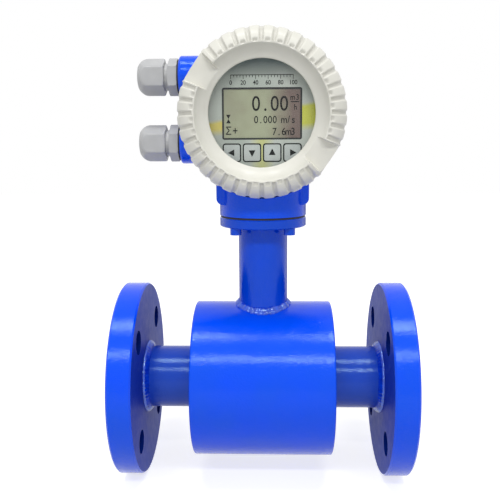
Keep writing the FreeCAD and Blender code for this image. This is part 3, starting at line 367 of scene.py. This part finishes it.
FINISHES = {
    "blue": blue_enamel(), "flange": blue_enamel("flange_enamel", painted_shade_radius=FLANGE_RADIUS - 4 * MM),
    # the pipe and the neck take darker copies of the blue enamel as painted shade
    "pipe": blue_enamel("pipe_enamel_painted_shade", (30, 74, 204), (24, 70, 190)),
    "neck": blue_enamel("neck_enamel_painted_shade", (0, 72, 226), (4, 70, 208)),
    "weld": weld_enamel(), "cover": cover_enamel(), "nylon": grey_nylon(),
    "label": label_film(), "display": display_film(), "glass": window_glass(), "board": circuit_board(),
    "liner": plastic("liner_plastic", srgb(232, 232, 226), 0.35),
    "rubber": plastic("black_rubber", srgb(26, 26, 27), 0.7),
    "black": plastic("black_moulding", srgb(18, 18, 20), 0.35),
    "ink": ink("black_ink", srgb(20, 21, 20)),
    "display_ink": ink("display_ink", srgb(34, 30, 30)),
    "key": plastic("key_caps", srgb(218, 226, 222), 0.35),
    "terminal": plastic("terminal_green", srgb(38, 120, 62), 0.4),
    "steel": metal("turned_steel", srgb(190, 192, 196), 0.32),
    "iron": metal("soft_iron", srgb(96, 98, 104), 0.5),
    "aluminium": metal("bare_aluminium", srgb(206, 208, 212), 0.35),
    "copper": metal("varnished_copper", srgb(176, 96, 52), 0.35),
    "brass": metal("turned_brass", srgb(204, 168, 92), 0.3),
}

NODE_FINISH = {
    "flange_inlet": "flange", "flange_outlet": "flange", "flange_weld": "weld",
    "end_plate": "blue", "plate_weld": "weld", "measuring": "pipe",
    "liner": "liner", "coil_housing": "blue", "coil_": "copper", "pole_shoe": "iron", "yoke_ring": "iron",
    "yoke_screws": "steel", "electrode": "steel", "electrode_bush": "liner", "neck_": "neck",
    "neck_weld": "weld", "neck_gasket": "rubber", "neck_screws": "neck", "transmitter": "blue",
    "front_cover": "cover", "rear_cover": "cover", "front_cover_oring": "rubber",
    "rear_cover_oring": "rubber", "window_gasket": "rubber", "window_glass": "glass",
    "glass_retainer": "aluminium", "fascia": "label", "lcd_frame": "black", "lcd_panel": "display",
    "main_board": "board", "display_board": "board", "power_board": "board", "board_posts": "brass",
    "key_": "key", "key_switches": "black", "terminal": "terminal", "gland_": "nylon",
    "gland_washer": "rubber", "gland_seal": "rubber",
}


def dress_nodes():
    """Give every CAD node the finish whose key is the longest start of its name."""
    for name, thing in NODES.items():
        start = max((key for key in NODE_FINISH if name.startswith(key)), key=len)
        thing.data.materials.clear()
        thing.data.materials.append(FINISHES[NODE_FINISH[start]].material)


# ---------------------------------------------------------------- mesh tools

TOUCHING = 1e-7       # points closer than this are one


def new_piece(name, points, faces, finish, body, replaced, sharp=40):
    """A smooth-shaded mesh piece that rides on a body and may stand for CAD nodes."""
    mesh = bpy.data.meshes.new(name)
    mesh.from_pydata([tuple(point) for point in points], [], faces)
    return finish_piece(name, mesh, finish, body, replaced, sharp)


def finish_piece(name, mesh, finish, body, replaced, sharp):
    """Clean a mesh, smooth it up to its sharp edges, set it on its body and hide the CAD nodes it stands for.
    """
    work = bmesh.new()
    work.from_mesh(mesh)
    bmesh.ops.remove_doubles(work, verts=work.verts, dist=TOUCHING)
    bmesh.ops.dissolve_degenerate(work, edges=work.edges, dist=TOUCHING)
    bmesh.ops.recalc_face_normals(work, faces=work.faces)
    work.to_mesh(mesh)
    work.free()
    for face in mesh.polygons:
        face.use_smooth = True
    mesh.set_sharp_from_angle(angle=math.radians(sharp))
    piece = bpy.data.objects.new(name, mesh)
    bpy.context.scene.collection.objects.link(piece)
    mesh.materials.append(FINISHES[finish].material)
    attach(piece, body)
    if replaced:
        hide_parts(*replaced)
    return piece


def grid_faces(columns, rows):
    """Quads of a grid that is closed both ways and stored column by column."""
    faces = []
    for column in range(columns):
        after = (column + 1) % columns
        for row in range(rows):
            above = (row + 1) % rows
            faces.append((column * rows + row, after * rows + row,
                          after * rows + above, column * rows + above))
    return faces


def arc(start, end, radius, steps):
    """Points of the short arc between two points; a positive radius has its centre to the left."""
    first, last = Vector(start), Vector(end)
    chord = last - first
    left = Vector((-chord.y, chord.x)).normalized()
    centre = (first + last) / 2 + left * math.copysign(
        math.sqrt(radius ** 2 - (chord.length / 2) ** 2), radius)
    begin = math.atan2(first.y - centre.y, first.x - centre.x)
    turn = math.atan2(last.y - centre.y, last.x - centre.x) - begin
    turn = (turn + math.pi) % (2 * math.pi) - math.pi
    return [centre + abs(radius) * Vector((math.cos(begin + turn * step / steps),
                                           math.sin(begin + turn * step / steps)))
            for step in range(steps + 1)]


def line(start, end, steps):
    """Evenly spaced points of a straight run, without its last point."""
    first, last = Vector(start), Vector(end)
    return [first.lerp(last, step / steps) for step in range(steps)]


def full_turn(columns, first, second):
    """Evenly spaced angles round an axis, each with its direction outwards, from first to second."""
    angles = [2 * math.pi * column / columns for column in range(columns)]
    return [(angle, first * math.cos(angle) + second * math.sin(angle)) for angle in angles]


# ---------------------------------------------------------------- covers

def step_between(value, edge, soft):
    """1 below the edge, 0 above it, with a straight ramp of +-soft."""
    return min(1.0, max(0.0, (edge + soft - value) / (2 * soft)))


def turn_from(angle, middle):
    """How far an angle is from a middle one, the short way round."""
    return abs((angle - middle + math.pi) % (2 * math.pi) - math.pi)


def lowered(value, limit, share):
    """A value brought down to a limit, by a share of the way."""
    return value + (min(value, limit) - value) * share


def rib_columns():
    """Angles of the mesh columns of a cover: close together at every edge of a groove, nick or notch."""
    angles = set()
    for rib in range(RIB_COUNT):
        for side in (-1, 1):
            edge = rib * RIB_PITCH + side * GROOVE_HALF
            angles.update(edge + shift * GROOVE_RAMP for shift in (-1, -0.6, -0.2, 0.2, 0.6, 1))
            edge = (rib + 0.5) * RIB_PITCH + side * NICK_HALF
            angles.update(edge + shift * EDGE_RAMP for shift in (-1, 1))
        angles.update((rib * RIB_PITCH, (rib + 0.5) * RIB_PITCH))
    for notch in (NOTCH_ANGLE, NOTCH_ANGLE + math.pi):
        for side in (-1, 1):
            angles.update(notch + side * NOTCH_HALF + shift * EDGE_RAMP for shift in (-2, -1, 1, 2))
    return sorted({round(angle % (2 * math.pi), 6) for angle in angles})


def zoned(zone, *runs):
    """Points of one or more runs, each with the zone of the cover that it lies in."""
    return [(Vector(point), zone) for run in runs for point in run]


def cover_contour(windowed):
    """The cover's section as ((radius, forward), zone), from its rear edge over the crest and inside."""
    rim_end, side_end = COVER_REAR + RIM_WIDTH, COVER_FRONT - SHOULDER
    land, seat = CREST_RADIUS + CREST_LAND, GLASS_RADIUS + SEAT_GAP
    rim_straight, side_start, land_edge = 2 * MM, 1.7 * MM, 0.25 * MM
    rim_turn = (RIM_RADIUS - RIM_ROUND, COVER_REAR)
    points = zoned("rim",
                   line((THREAD_BORE, COVER_REAR), rim_turn, 2),
                   arc(rim_turn, (RIM_RADIUS, COVER_REAR + RIM_ROUND), RIM_ARC, 4),
                   line((RIM_RADIUS, COVER_REAR + rim_straight), (RIM_RADIUS, rim_end), 2),
                   line((RIM_RADIUS, rim_end), (COVER_RADIUS, rim_end + RIM_SLOPE), 3))
    points += zoned("side",
                    line((COVER_RADIUS, rim_end + side_start), (COVER_RADIUS, side_end), 8),
                    arc((COVER_RADIUS, side_end), (land, COVER_FRONT), SHOULDER_ARC, 16))
    edge = [(CREST_RADIUS + outwards, COVER_FRONT - back) for outwards, back in CREST_EDGE]
    points += zoned("crest", [(land - land_edge, COVER_FRONT)], edge[:2])
    if windowed:
        chamfer_out, chamfer_back = LIP_CHAMFER
        lip_front = COVER_FRONT - WINDOW_DEPTH
        points += zoned("funnel", arc(edge[2], (WINDOW_RADIUS + chamfer_out, lip_front), -FUNNEL_ARC, 16))
        points += zoned("inner", [(WINDOW_RADIUS, lip_front - chamfer_back), (WINDOW_RADIUS, lip_front - LIP),
                                  (seat, lip_front - LIP)])
    else:
        floor, wall = COVER_FRONT - BLIND_RECESS, CREST_RADIUS - BLIND_RECESS
        points += zoned("funnel", arc(edge[2], (wall, floor), -BLIND_ARC, 5))
        points += zoned("inner", line((wall, floor), (0, floor), 4),
                        [(0, floor), (0, floor - BLIND_PLATE), (seat, floor - BLIND_PLATE)])
    step = FASCIA_FRONT + SEAT_GAP
    return points + zoned("inner", [(seat, step), (THREAD_BORE, step)])


def rib_state(angle):
    """How much groove, nick and notch there is at an angle, each 0..1, and how far off the notch is."""
    from_nick = abs(angle % RIB_PITCH - RIB_PITCH / 2)
    from_groove = RIB_PITCH / 2 - from_nick
    from_notch = min(turn_from(angle, NOTCH_ANGLE), turn_from(angle, NOTCH_ANGLE + math.pi))
    notch = step_between(from_notch, NOTCH_HALF, EDGE_RAMP)
    groove = step_between(from_groove, GROOVE_HALF, GROOVE_RAMP)
    groove = groove * groove * (3 - 2 * groove) * (1 - notch)      # round, and none in a notch
    nick = step_between(from_nick, NICK_HALF, EDGE_RAMP)
    if from_notch < NOTCH_HALF + from_nick + 2 * NICK_HALF:
        nick = 0.0
    return groove, nick, notch, from_notch


def shape_cover(points, state, nicked):
    """Move the section's points at one angle for the groove, nick and notch there."""
    groove, nick, notch, from_notch = state
    floor = COVER_FRONT - NOTCH_DEPTH
    least_cos, nick_shade = 0.5, 0.8
    flat = NOTCH_FLAT / max(math.cos(from_notch), least_cos)
    shaped, hollows = [], []
    for index, (point, zone) in enumerate(points):
        place = point.copy()
        hollow = 0.0
        if zone == "side":
            before, after = points[index - 1][0], points[(index + 1) % len(points)][0]
            way = (after - before).normalized()
            inward = Vector((-way.y, way.x))
            hollow = groove * (1 - FADE * min(1.0, max(0.0, (FADE_START - point.y) / FADE_LENGTH)))
            place += inward * GROOVE_DEPTH * hollow
        if nicked and zone in ("side", "crest") and NICK_START < point.x < NICK_START + NICK_LENGTH:
            place.y = lowered(place.y, COVER_FRONT - NICK_DEPTH, nick)
            hollow = max(hollow, nick * nick_shade)
        if point.y > floor and point.x > WINDOW_RADIUS and zone != "inner":
            place.y = lowered(place.y, floor, notch)
        if zone == "side":
            place.x = lowered(place.x, flat, notch)
        shaped.append(place)
        hollows.append(hollow)
    return shaped, hollows


def ribbed_cover(name, nodes, forward, windowed):
    """The cast cover with its ribs, nicks and spanner notches as one fine mesh."""
    across = X if forward.y < 0 else -X
    points, hollows = [], []
    contour = cover_contour(windowed)
    columns = rib_columns()
    for angle in columns:
        out = across * math.cos(angle) + Z * math.sin(angle)
        shaped, hollow = shape_cover(contour, rib_state(angle), windowed)
        points += [HEAD + out * place.x + forward * place.y for place in shaped]
        hollows += hollow
    faces = grid_faces(len(columns), len(contour))
    mesh = bpy.data.meshes.new(name)
    mesh.from_pydata([tuple(point) for point in points], [], faces)
    layer = mesh.attributes.new("hollow", "FLOAT", "POINT")
    layer.data.foreach_set("value", hollows)
    return finish_piece(name, mesh, "cover", nodes[0], nodes, sharp=50)


# ---------------------------------------------------------------- welds

BEAD_ROWS = 9             # points over a bead's section
CORNER_BEAD = {"leg": 4.6 * MM, "mean": 0.86, "lumps": 0.16, "ripples": 0.035,
               "beats": 58, "wander": 4, "coarse": 3.1}
NECK_BEAD = {"leg": 3.5 * MM, "mean": 0.95, "lumps": 0.3, "ripples": 0.07,
             "beats": 34, "wander": 6, "coarse": 4.3}


def bead_state(angle, seed, leg, mean, lumps, ripples, beats, wander, coarse):
    """Leg length and ripple of a hand-laid bead at one angle of its round."""
    lump = noise.noise(Vector((math.cos(angle) * coarse, math.sin(angle) * coarse, seed)))
    ripple = math.sin(angle * beats + wander * lump)
    return leg * (mean + lumps * lump + ripples * ripple), ripple


def bead_section(foot, first, second, size, ripple, flatter, relief):
    """Quarter-round section of a bead between two directions from its foot, flatter in the middle."""
    ring = []
    for row in range(BEAD_ROWS):
        tilt = math.pi / 2 * row / (BEAD_ROWS - 1)
        bulge = 1 - flatter + flatter * abs(math.cos(2 * tilt)) + relief * ripple * math.sin(2 * tilt)
        ring.append(foot + first * size * math.sin(tilt) * bulge + second * size * math.cos(tilt) * bulge)
    return ring


def weld_piece(name, node, columns, points):
    """A bead from its sections, each closed by one more point at its foot."""
    faces = grid_faces(columns, BEAD_ROWS + 1)
    return new_piece(name, points, faces, "weld", "root", (node,), sharp=60)


def corner_bead(name, node, corner_x, toward):
    """A hand-laid bead in the corner of the round pipe and a flat plate."""
    columns, seeds_to_metre = 240, 90
    points = []
    for angle, out in full_turn(columns, Y, Z):
        size, ripple = bead_state(angle, corner_x * seeds_to_metre, **CORNER_BEAD)
        foot = Vector((corner_x, 0, 0)) + out * PIPE_RADIUS
        points += bead_section(foot, out, X * toward, size, ripple, flatter=0.14, relief=0.03) + [foot]
    return weld_piece(name, node, columns, points)


def neck_bead():
    """The lumpy bead that follows the saddle line between neck and coil housing."""
    columns, seed, sunk = 260, 7.7, 0.2 * MM
    points = []
    for angle, out in full_turn(columns, X, Y):
        reach = NECK_RADIUS * math.sin(angle)
        height = math.sqrt(HOUSING_RADIUS ** 2 - reach ** 2)
        slope = -reach * math.sin(angle) / height
        along = (out + Z * slope).normalized()
        size, ripple = bead_state(angle, seed, **NECK_BEAD)
        foot = out * NECK_RADIUS + Z * height
        points += bead_section(foot, along, Z, size, ripple, flatter=0.2, relief=0.05) + [foot - Z * sunk]
    return weld_piece("neck_bead", "neck_weld", columns, points)


# ---------------------------------------------------------------- round blue pieces

def housing_shell():
    """The coil casing with slightly rolled edges and the faint unevenness of rolled plate."""
    wall, edge, skin = 4 * MM, 1.4 * MM, 0.2 * MM
    columns, edge_steps, runs = 200, 8, 26
    unevenness, lumps_round, lumps_to_metre = 0.09 * MM, 2, 26
    outer, inner, end = HOUSING_RADIUS, HOUSING_RADIUS - wall, HOUSING_END
    profile = line((inner, -end), (outer - edge, -end), 2)
    profile += arc((outer - edge, -end), (outer, -end + edge), edge, edge_steps)
    profile += line((outer, -end + edge), (outer, end - edge), runs)[1:]
    profile += arc((outer, end - edge), (outer - edge, end), edge, edge_steps)
    profile += [Vector((inner, end))]
    points = []
    for angle, out in full_turn(columns, -Y, -Z):
        for radius, along in profile:
            if radius > outer - skin:
                lump = noise.noise(Vector((math.cos(angle) * lumps_round, math.sin(angle) * lumps_round,
                                           along * lumps_to_metre)))
                radius -= unevenness * (lump + 1) / 2
            points.append(out * radius + X * along)
    faces = grid_faces(columns, len(profile))
    return new_piece("housing_shell", points, faces, "blue", "root", ("coil_housing",))


# ---------------------------------------------------------------- cable glands

def soft_least(first, second, soft):
    """The lesser of two lengths, with a rounded change from one to the other."""
    share = max(0.0, 1 - abs(first - second) / soft)
    return min(first, second) - share * share * soft / 4


def hexagon_radius(angle, flats):
    """Distance from the middle of a hexagon to its side, straight out at an angle."""
    return flats / 2 / math.cos((angle % (math.pi / 3)) - math.pi / 6)


def hex_turned(name, node, body, profile, flats, origin):
    """A moulded round profile with six soft-edged flats on its outside, along -X."""
    columns, soft = 180, 0.7 * MM
    points = []
    for angle, out in full_turn(columns, Z, Y):
        for radius, height, flatted in profile:
            if flatted:
                radius = soft_least(radius, hexagon_radius(angle, flats), soft)
            points.append(origin + out * radius - X * height)
    faces = grid_faces(columns, len(profile))
    return new_piece(name, points, faces, "nylon", body, (node,), sharp=55)


def dome_nut(level):
    """The clamping nut of a gland: flats that run out into a rounded end with a round mouth."""
    node = f"gland_nut_{level}"
    low, high, middle = span(node)
    flats, length = high.y - low.y, high.x - low.x
    corner = flats / 2 / math.cos(math.pi / 6)
    bore, throat, lip = 10.2 * MM, 6.7 * MM, 8.9 * MM
    dome, dome_arc, edge = 7 * MM, 9.6 * MM, 0.5 * MM
    seat_chamfer, seat_lift, shoulder, mouth_round = 1.5 * MM, 0.02 * MM, 0.6 * MM, 0.15 * MM
    skirt = length - dome
    throat_end, bore_end = skirt + 1 * MM, skirt - 3 * MM
    profile = [(bore, 0, False), (bore + edge, 0, False)]
    profile += [(corner - seat_chamfer + shift, seat_lift + shift / 4, True) for shift in (0, edge, 2 * edge)]
    profile += [(corner, height, True) for height in (0.9 * MM, 2 * MM, skirt * 0.5, skirt * 0.8)]
    rounding = arc((corner, skirt - shoulder), (lip, length - mouth_round), dome_arc, 16)
    profile += [(radius, height, True) for radius, height in rounding]
    profile += [(lip - edge, length, False), (throat + edge, length, False), (throat, length - edge, False),
                (throat, throat_end, False), (bore, bore_end, False)]
    origin = Vector((high.x, middle.y, middle.z))
    return hex_turned(f"gland_cap_{level}", node, f"{level}_gland_nut", profile, flats, origin)


# ---------------------------------------------------------------- display, label and keys

PRINT_THICKNESS = 0.03 * MM
DISPLAY_SQUEEZE, SCALE_SQUEEZE = 0.86, 0.9      # width of the figures against the font's own
KEY_ARROWS = {"key_left": 180, "key_down": 270, "key_up": 90, "key_right": 0}


def box_outline(left, right, low, high):
    return [(left, low), (right, low), (right, high), (left, high)]


def flat_piece(name, outlines, front, thickness, finish, body="root"):
    """A thin printed piece in the display's plane: each outline is (across, up) about the head's axis."""
    work = bmesh.new()
    for outline in outlines:
        rows = []
        for depth in (front, front - thickness):
            rows.append([work.verts.new((across, -depth, HEAD.z + up)) for across, up in outline])
        work.faces.new(rows[0])
        work.faces.new(list(reversed(rows[1])))
        for index in range(len(outline)):
            after = (index + 1) % len(outline)
            work.faces.new((rows[0][index], rows[0][after], rows[1][after], rows[1][index]))
    mesh = bpy.data.meshes.new(name)
    work.to_mesh(mesh)
    work.free()
    return finish_piece(name, mesh, finish, body, (), sharp=30)


def ring_piece(name, outer, inner, front, thickness, finish):
    """A thin closed band between two outlines with the same number of points."""
    points = []
    for (x1, z1), (x2, z2) in zip(outer, inner):
        points += [Vector((x1, -front, HEAD.z + z1)), Vector((x2, -front, HEAD.z + z2)),
                   Vector((x2, thickness - front, HEAD.z + z2)), Vector((x1, thickness - front, HEAD.z + z1))]
    faces = grid_faces(len(outer), 4)
    return new_piece(name, points, faces, finish, "root", (), sharp=30)


def round_rectangle(x, z, width, height, corner, steps=6):
    """Outline points of a rectangle with round corners."""
    outline = []
    for sign_x, sign_z, start in ((1, -1, -90), (1, 1, 0), (-1, 1, 90), (-1, -1, 180)):
        for step in range(steps + 1):
            angle = math.radians(start + 90 * step / steps)
            outline.append((x + sign_x * (width / 2 - corner) + corner * math.cos(angle),
                            z + sign_z * (height / 2 - corner) + corner * math.sin(angle)))
    return outline


def lettering(name, text, at, size, finish, front, squeeze):
    """Plain figures or units as a thin mesh; at is the middle of its foot, (across, up)."""
    curve = bpy.data.curves.new(name, "FONT")
    curve.body = text
    curve.size = size
    curve.extrude = 0.02 * MM
    curve.offset = 0.07 * MM      # a heavier stroke
    curve.resolution_u = 4
    curve.align_x = "CENTER"
    source = bpy.data.objects.new(name + "_source", curve)
    mesh = bpy.data.meshes.new_from_object(source)
    bpy.data.objects.remove(source)
    bpy.data.curves.remove(curve)
    mesh.transform(Matrix.Diagonal((squeeze, 1, 1, 1)))
    mesh.transform(Matrix.Rotation(math.pi / 2, 4, "X"))
    mesh.transform(Matrix.Translation((at[0], -front, HEAD.z + at[1])))
    mesh.name = name
    return finish_piece(name, mesh, finish, "root", (), sharp=30)


def reading(name, text, first, foot, cell, size, front):
    """Figures of a character display, one to a cell of even width; first is the first cell's middle."""
    for index, sign in enumerate(text):
        if sign != " ":
            lettering(f"{name}_{index}", sign, (first + index * cell, foot), size, "display_ink", front,
                      DISPLAY_SQUEEZE)


def display_reading():
    """What the display shows: flow rate, speed and running total as plain figures with their units."""
    low, high, middle = span("lcd_panel")
    lift = 0.04 * MM
    front = lift - low.y
    left, right, base = low.x, high.x, middle.z - HEAD.z
    for name, text, first, foot, cell, size in (
            ("rate", "0.00", -0.0042, 0.0020, 0.0066, 0.0148),
            ("speed", "0.000 m/s", -0.0042, -0.0066, 0.0033, 0.0072),
            ("total", "7.6m3", 0.0088, -0.0150, 0.0033, 0.0072),
            ("unit_cube", "m3", right - 0.0054, 0.0094, 0.0034, 0.0056),
            ("unit_hour", "h", right - 0.0034, 0.0026, 0.0034, 0.0056),
            ("sum_sign", "Σ+", left + 0.0032, -0.0146, 0.0048, 0.0078)):
        reading(name, text, first, base + foot, cell, size, front)
    bar = box_outline(right - 0.0068, right - 0.0008, base + 0.0078, base + 0.0085)
    glass_left, glass_middle, glass_right = left + 0.0016, left + 0.0032, left + 0.0048
    glass_foot, glass_waist, glass_top = base - 0.0066, base - 0.0036, base - 0.0006
    glass = [[(glass_left, glass_foot), (glass_right, glass_foot), (glass_middle, glass_waist)],
             [(glass_right, glass_top), (glass_left, glass_top), (glass_middle, glass_waist)]]
    flat_piece("unit_bar", [bar], front, PRINT_THICKNESS, "display_ink")
    flat_piece("wait_sign", glass, front, PRINT_THICKNESS, "display_ink")


def label_print():
    """A plain scale over the display."""
    front = FASCIA_FRONT + PRINT_THICKNESS
    top, half, tick_step, steps, steps_to_figure = 26.8 * MM, 22 * MM, 2.2 * MM, 20, 4
    tall, short, half_width, rule = 2.6 * MM, 1.4 * MM, 0.2 * MM, 0.5 * MM
    figure_drop, figure_size = 6.4 * MM, 4.3 * MM
    ticks = []
    for step in range(steps + 1):
        across = -half + tick_step * step
        length = short if step % steps_to_figure else tall
        ticks.append(box_outline(across - half_width, across + half_width, top - length, top))
    ticks.append(box_outline(-half - half_width, half + half_width, top, top + rule))
    flat_piece("scale_ticks", ticks, front, PRINT_THICKNESS, "ink")
    for step in range(0, steps + 1, steps_to_figure):
        text = str(100 * step // steps)
        at = (-half + tick_step * step, top - figure_drop)
        lettering(f"scale_{text}", text, at, figure_size, "ink", front, SCALE_SQUEEZE)


def keys():
    """The black outline round each key and the arrow printed on its cap."""
    outer, inner, outer_corner, inner_corner = 13.3 * MM, 11.5 * MM, 2 * MM, 1.3 * MM
    outline_lift, outline_thickness = 0.04 * MM, 0.05 * MM
    arrow_reach, arrow_lift, arrow_thickness = 2.945 * MM, 0.03 * MM, 0.04 * MM
    for name, heading in KEY_ARROWS.items():
        low, _, middle = span(name)
        up = middle.z - HEAD.z
        ring_piece(f"{name}_outline",
                   round_rectangle(middle.x, up, outer, outer, outer_corner),
                   round_rectangle(middle.x, up, inner, inner, inner_corner),
                   FASCIA_FRONT + outline_lift, outline_thickness, "ink")
        corners = [math.radians(heading + turn) for turn in (0, 125, 235)]
        arrow = [(middle.x + arrow_reach * math.cos(corner), up + arrow_reach * math.sin(corner))
                 for corner in corners]
        flat_piece(f"{name}_arrow", [arrow], arrow_lift - low.y, arrow_thickness, "ink", name)


# ---------------------------------------------------------------- stage, lamps and camera

CAMERA_AT = Vector((0.0076, -0.5233, 0.1842))
LOOK_AT = Vector((-0.0102, 0.0, 0.1024))
CAMERA_ROLL = -0.006
LENS = 48.93
SKY_LIGHT = 0.47          # how strongly the white surroundings light the object
FLOOR_LIFT = 0.72         # how strongly the floor shines where it is seen
FLOOR_HALF, FLOOR_GAP, FLOOR_GREY = 3.0, 0.2 * MM, 0.62


def camera():
    data = bpy.data.cameras.new("camera")
    data.lens = LENS
    data.sensor_width = 36
    data.clip_start = 0.01
    thing = bpy.data.objects.new("camera", data)
    bpy.context.scene.collection.objects.link(thing)
    turn = (LOOK_AT - CAMERA_AT).to_track_quat("-Z", "Y").to_matrix().to_4x4()
    thing.matrix_world = Matrix.Translation(CAMERA_AT) @ turn @ Matrix.Rotation(CAMERA_ROLL, 4, "Z")
    bpy.context.scene.camera = thing


def seen_ray(tree):
    """1 for camera, glossy and transmission rays, 0 for the rays that light the object."""
    path = tree.nodes.new("ShaderNodeLightPath")
    seen = path.outputs["Is Camera Ray"]
    for ray in ("Is Glossy Ray", "Is Transmission Ray"):
        either = tree.nodes.new("ShaderNodeMath")
        either.operation = "MAXIMUM"
        tree.links.new(seen, either.inputs[0])
        tree.links.new(path.outputs[ray], either.inputs[1])
        seen = either.outputs["Value"]
    return seen


def strength(tree, low, high):
    """A strength that is high for seen rays and low for the others."""
    level = tree.nodes.new("ShaderNodeMapRange")
    level.inputs["To Min"].default_value = low
    level.inputs["To Max"].default_value = high
    tree.links.new(seen_ray(tree), level.inputs["Value"])
    return level.outputs["Result"]


def floor_material():
    """A pale matt floor, lifted to white where it is seen, that still takes the object's shadow."""
    material = bpy.data.materials.new("floor")
    material.use_nodes = True
    tree = material.node_tree
    shader = tree.nodes["Principled BSDF"]
    shader.inputs["Base Color"].default_value = (FLOOR_GREY, FLOOR_GREY, FLOOR_GREY, 1)
    shader.inputs["Roughness"].default_value = 0.9
    shader.inputs["Specular IOR Level"].default_value = 0.0
    shader.inputs["Emission Color"].default_value = (1, 1, 1, 1)
    tree.links.new(strength(tree, 0.0, FLOOR_LIFT), shader.inputs["Emission Strength"])
    return material


def floor():
    mesh = bpy.data.meshes.new("floor")
    level = CAD_BOUNDS[0][2] - FLOOR_GAP
    corners = box_outline(-FLOOR_HALF, FLOOR_HALF, -FLOOR_HALF, FLOOR_HALF)
    mesh.from_pydata([(x, y, level) for x, y in corners], [], [(0, 1, 2, 3)])
    mesh.materials.append(floor_material())
    thing = bpy.data.objects.new("floor", mesh)
    bpy.context.scene.collection.objects.link(thing)


def lamp(name, at, towards, size, power):
    """A soft rectangular lamp, size given as (width, height)."""
    data = bpy.data.lights.new(name, "AREA")
    data.shape = "RECTANGLE"
    data.size, data.size_y = size
    data.energy = power
    thing = bpy.data.objects.new(name, data)
    bpy.context.scene.collection.objects.link(thing)
    thing.location = at
    thing.rotation_euler = (Vector(towards) - Vector(at)).to_track_quat("-Z", "Y").to_euler()


def world():
    """White surroundings, dimmer as a light than as a background."""
    scene_world = bpy.data.worlds.new("studio")
    bpy.context.scene.world = scene_world
    scene_world.use_nodes = True
    tree = scene_world.node_tree
    back = tree.nodes["Background"]
    back.inputs["Color"].default_value = (1, 1, 1, 1)
    tree.links.new(strength(tree, SKY_LIGHT, 1.0), back.inputs["Strength"])


def lights():
    """A long strip in front, and two soft boxes almost overhead that the head keeps off the middle."""
    centre = (0, 0, 0.06)
    lamp("front_strip", (0, -2.15, 2.0), centre, (2.4, 0.2), 31)
    lamp("top_left", (-0.5, -0.55, 2.5), centre, (0.5, 0.5), 12)
    lamp("top_right", (0.5, -0.55, 2.5), centre, (0.5, 0.5), 12)


def build():
    dress_nodes()
    ribbed_cover("front_cover_casting", ("front_cover",), -Y, True)
    ribbed_cover("rear_cover_casting", ("rear_cover", "rear_cover_plate"), Y, False)
    inner_face = span("flange_outlet")[0].x
    plate_face = span("plate_weld_outlet")[0].x
    for end, side in (("inlet", -1), ("outlet", 1)):
        corner_bead(f"flange_bead_{end}", f"flange_weld_{end}", side * inner_face, -side)
        corner_bead(f"plate_bead_{end}", f"plate_weld_{end}", side * plate_face, side)
    neck_bead()
    housing_shell()
    for level in ("upper", "lower"):
        dome_nut(level)
    display_reading()
    label_print()
    keys()
    camera()
    floor()
    world()
    lights()
    bpy.context.scene.view_settings.view_transform = "Standard"


build()
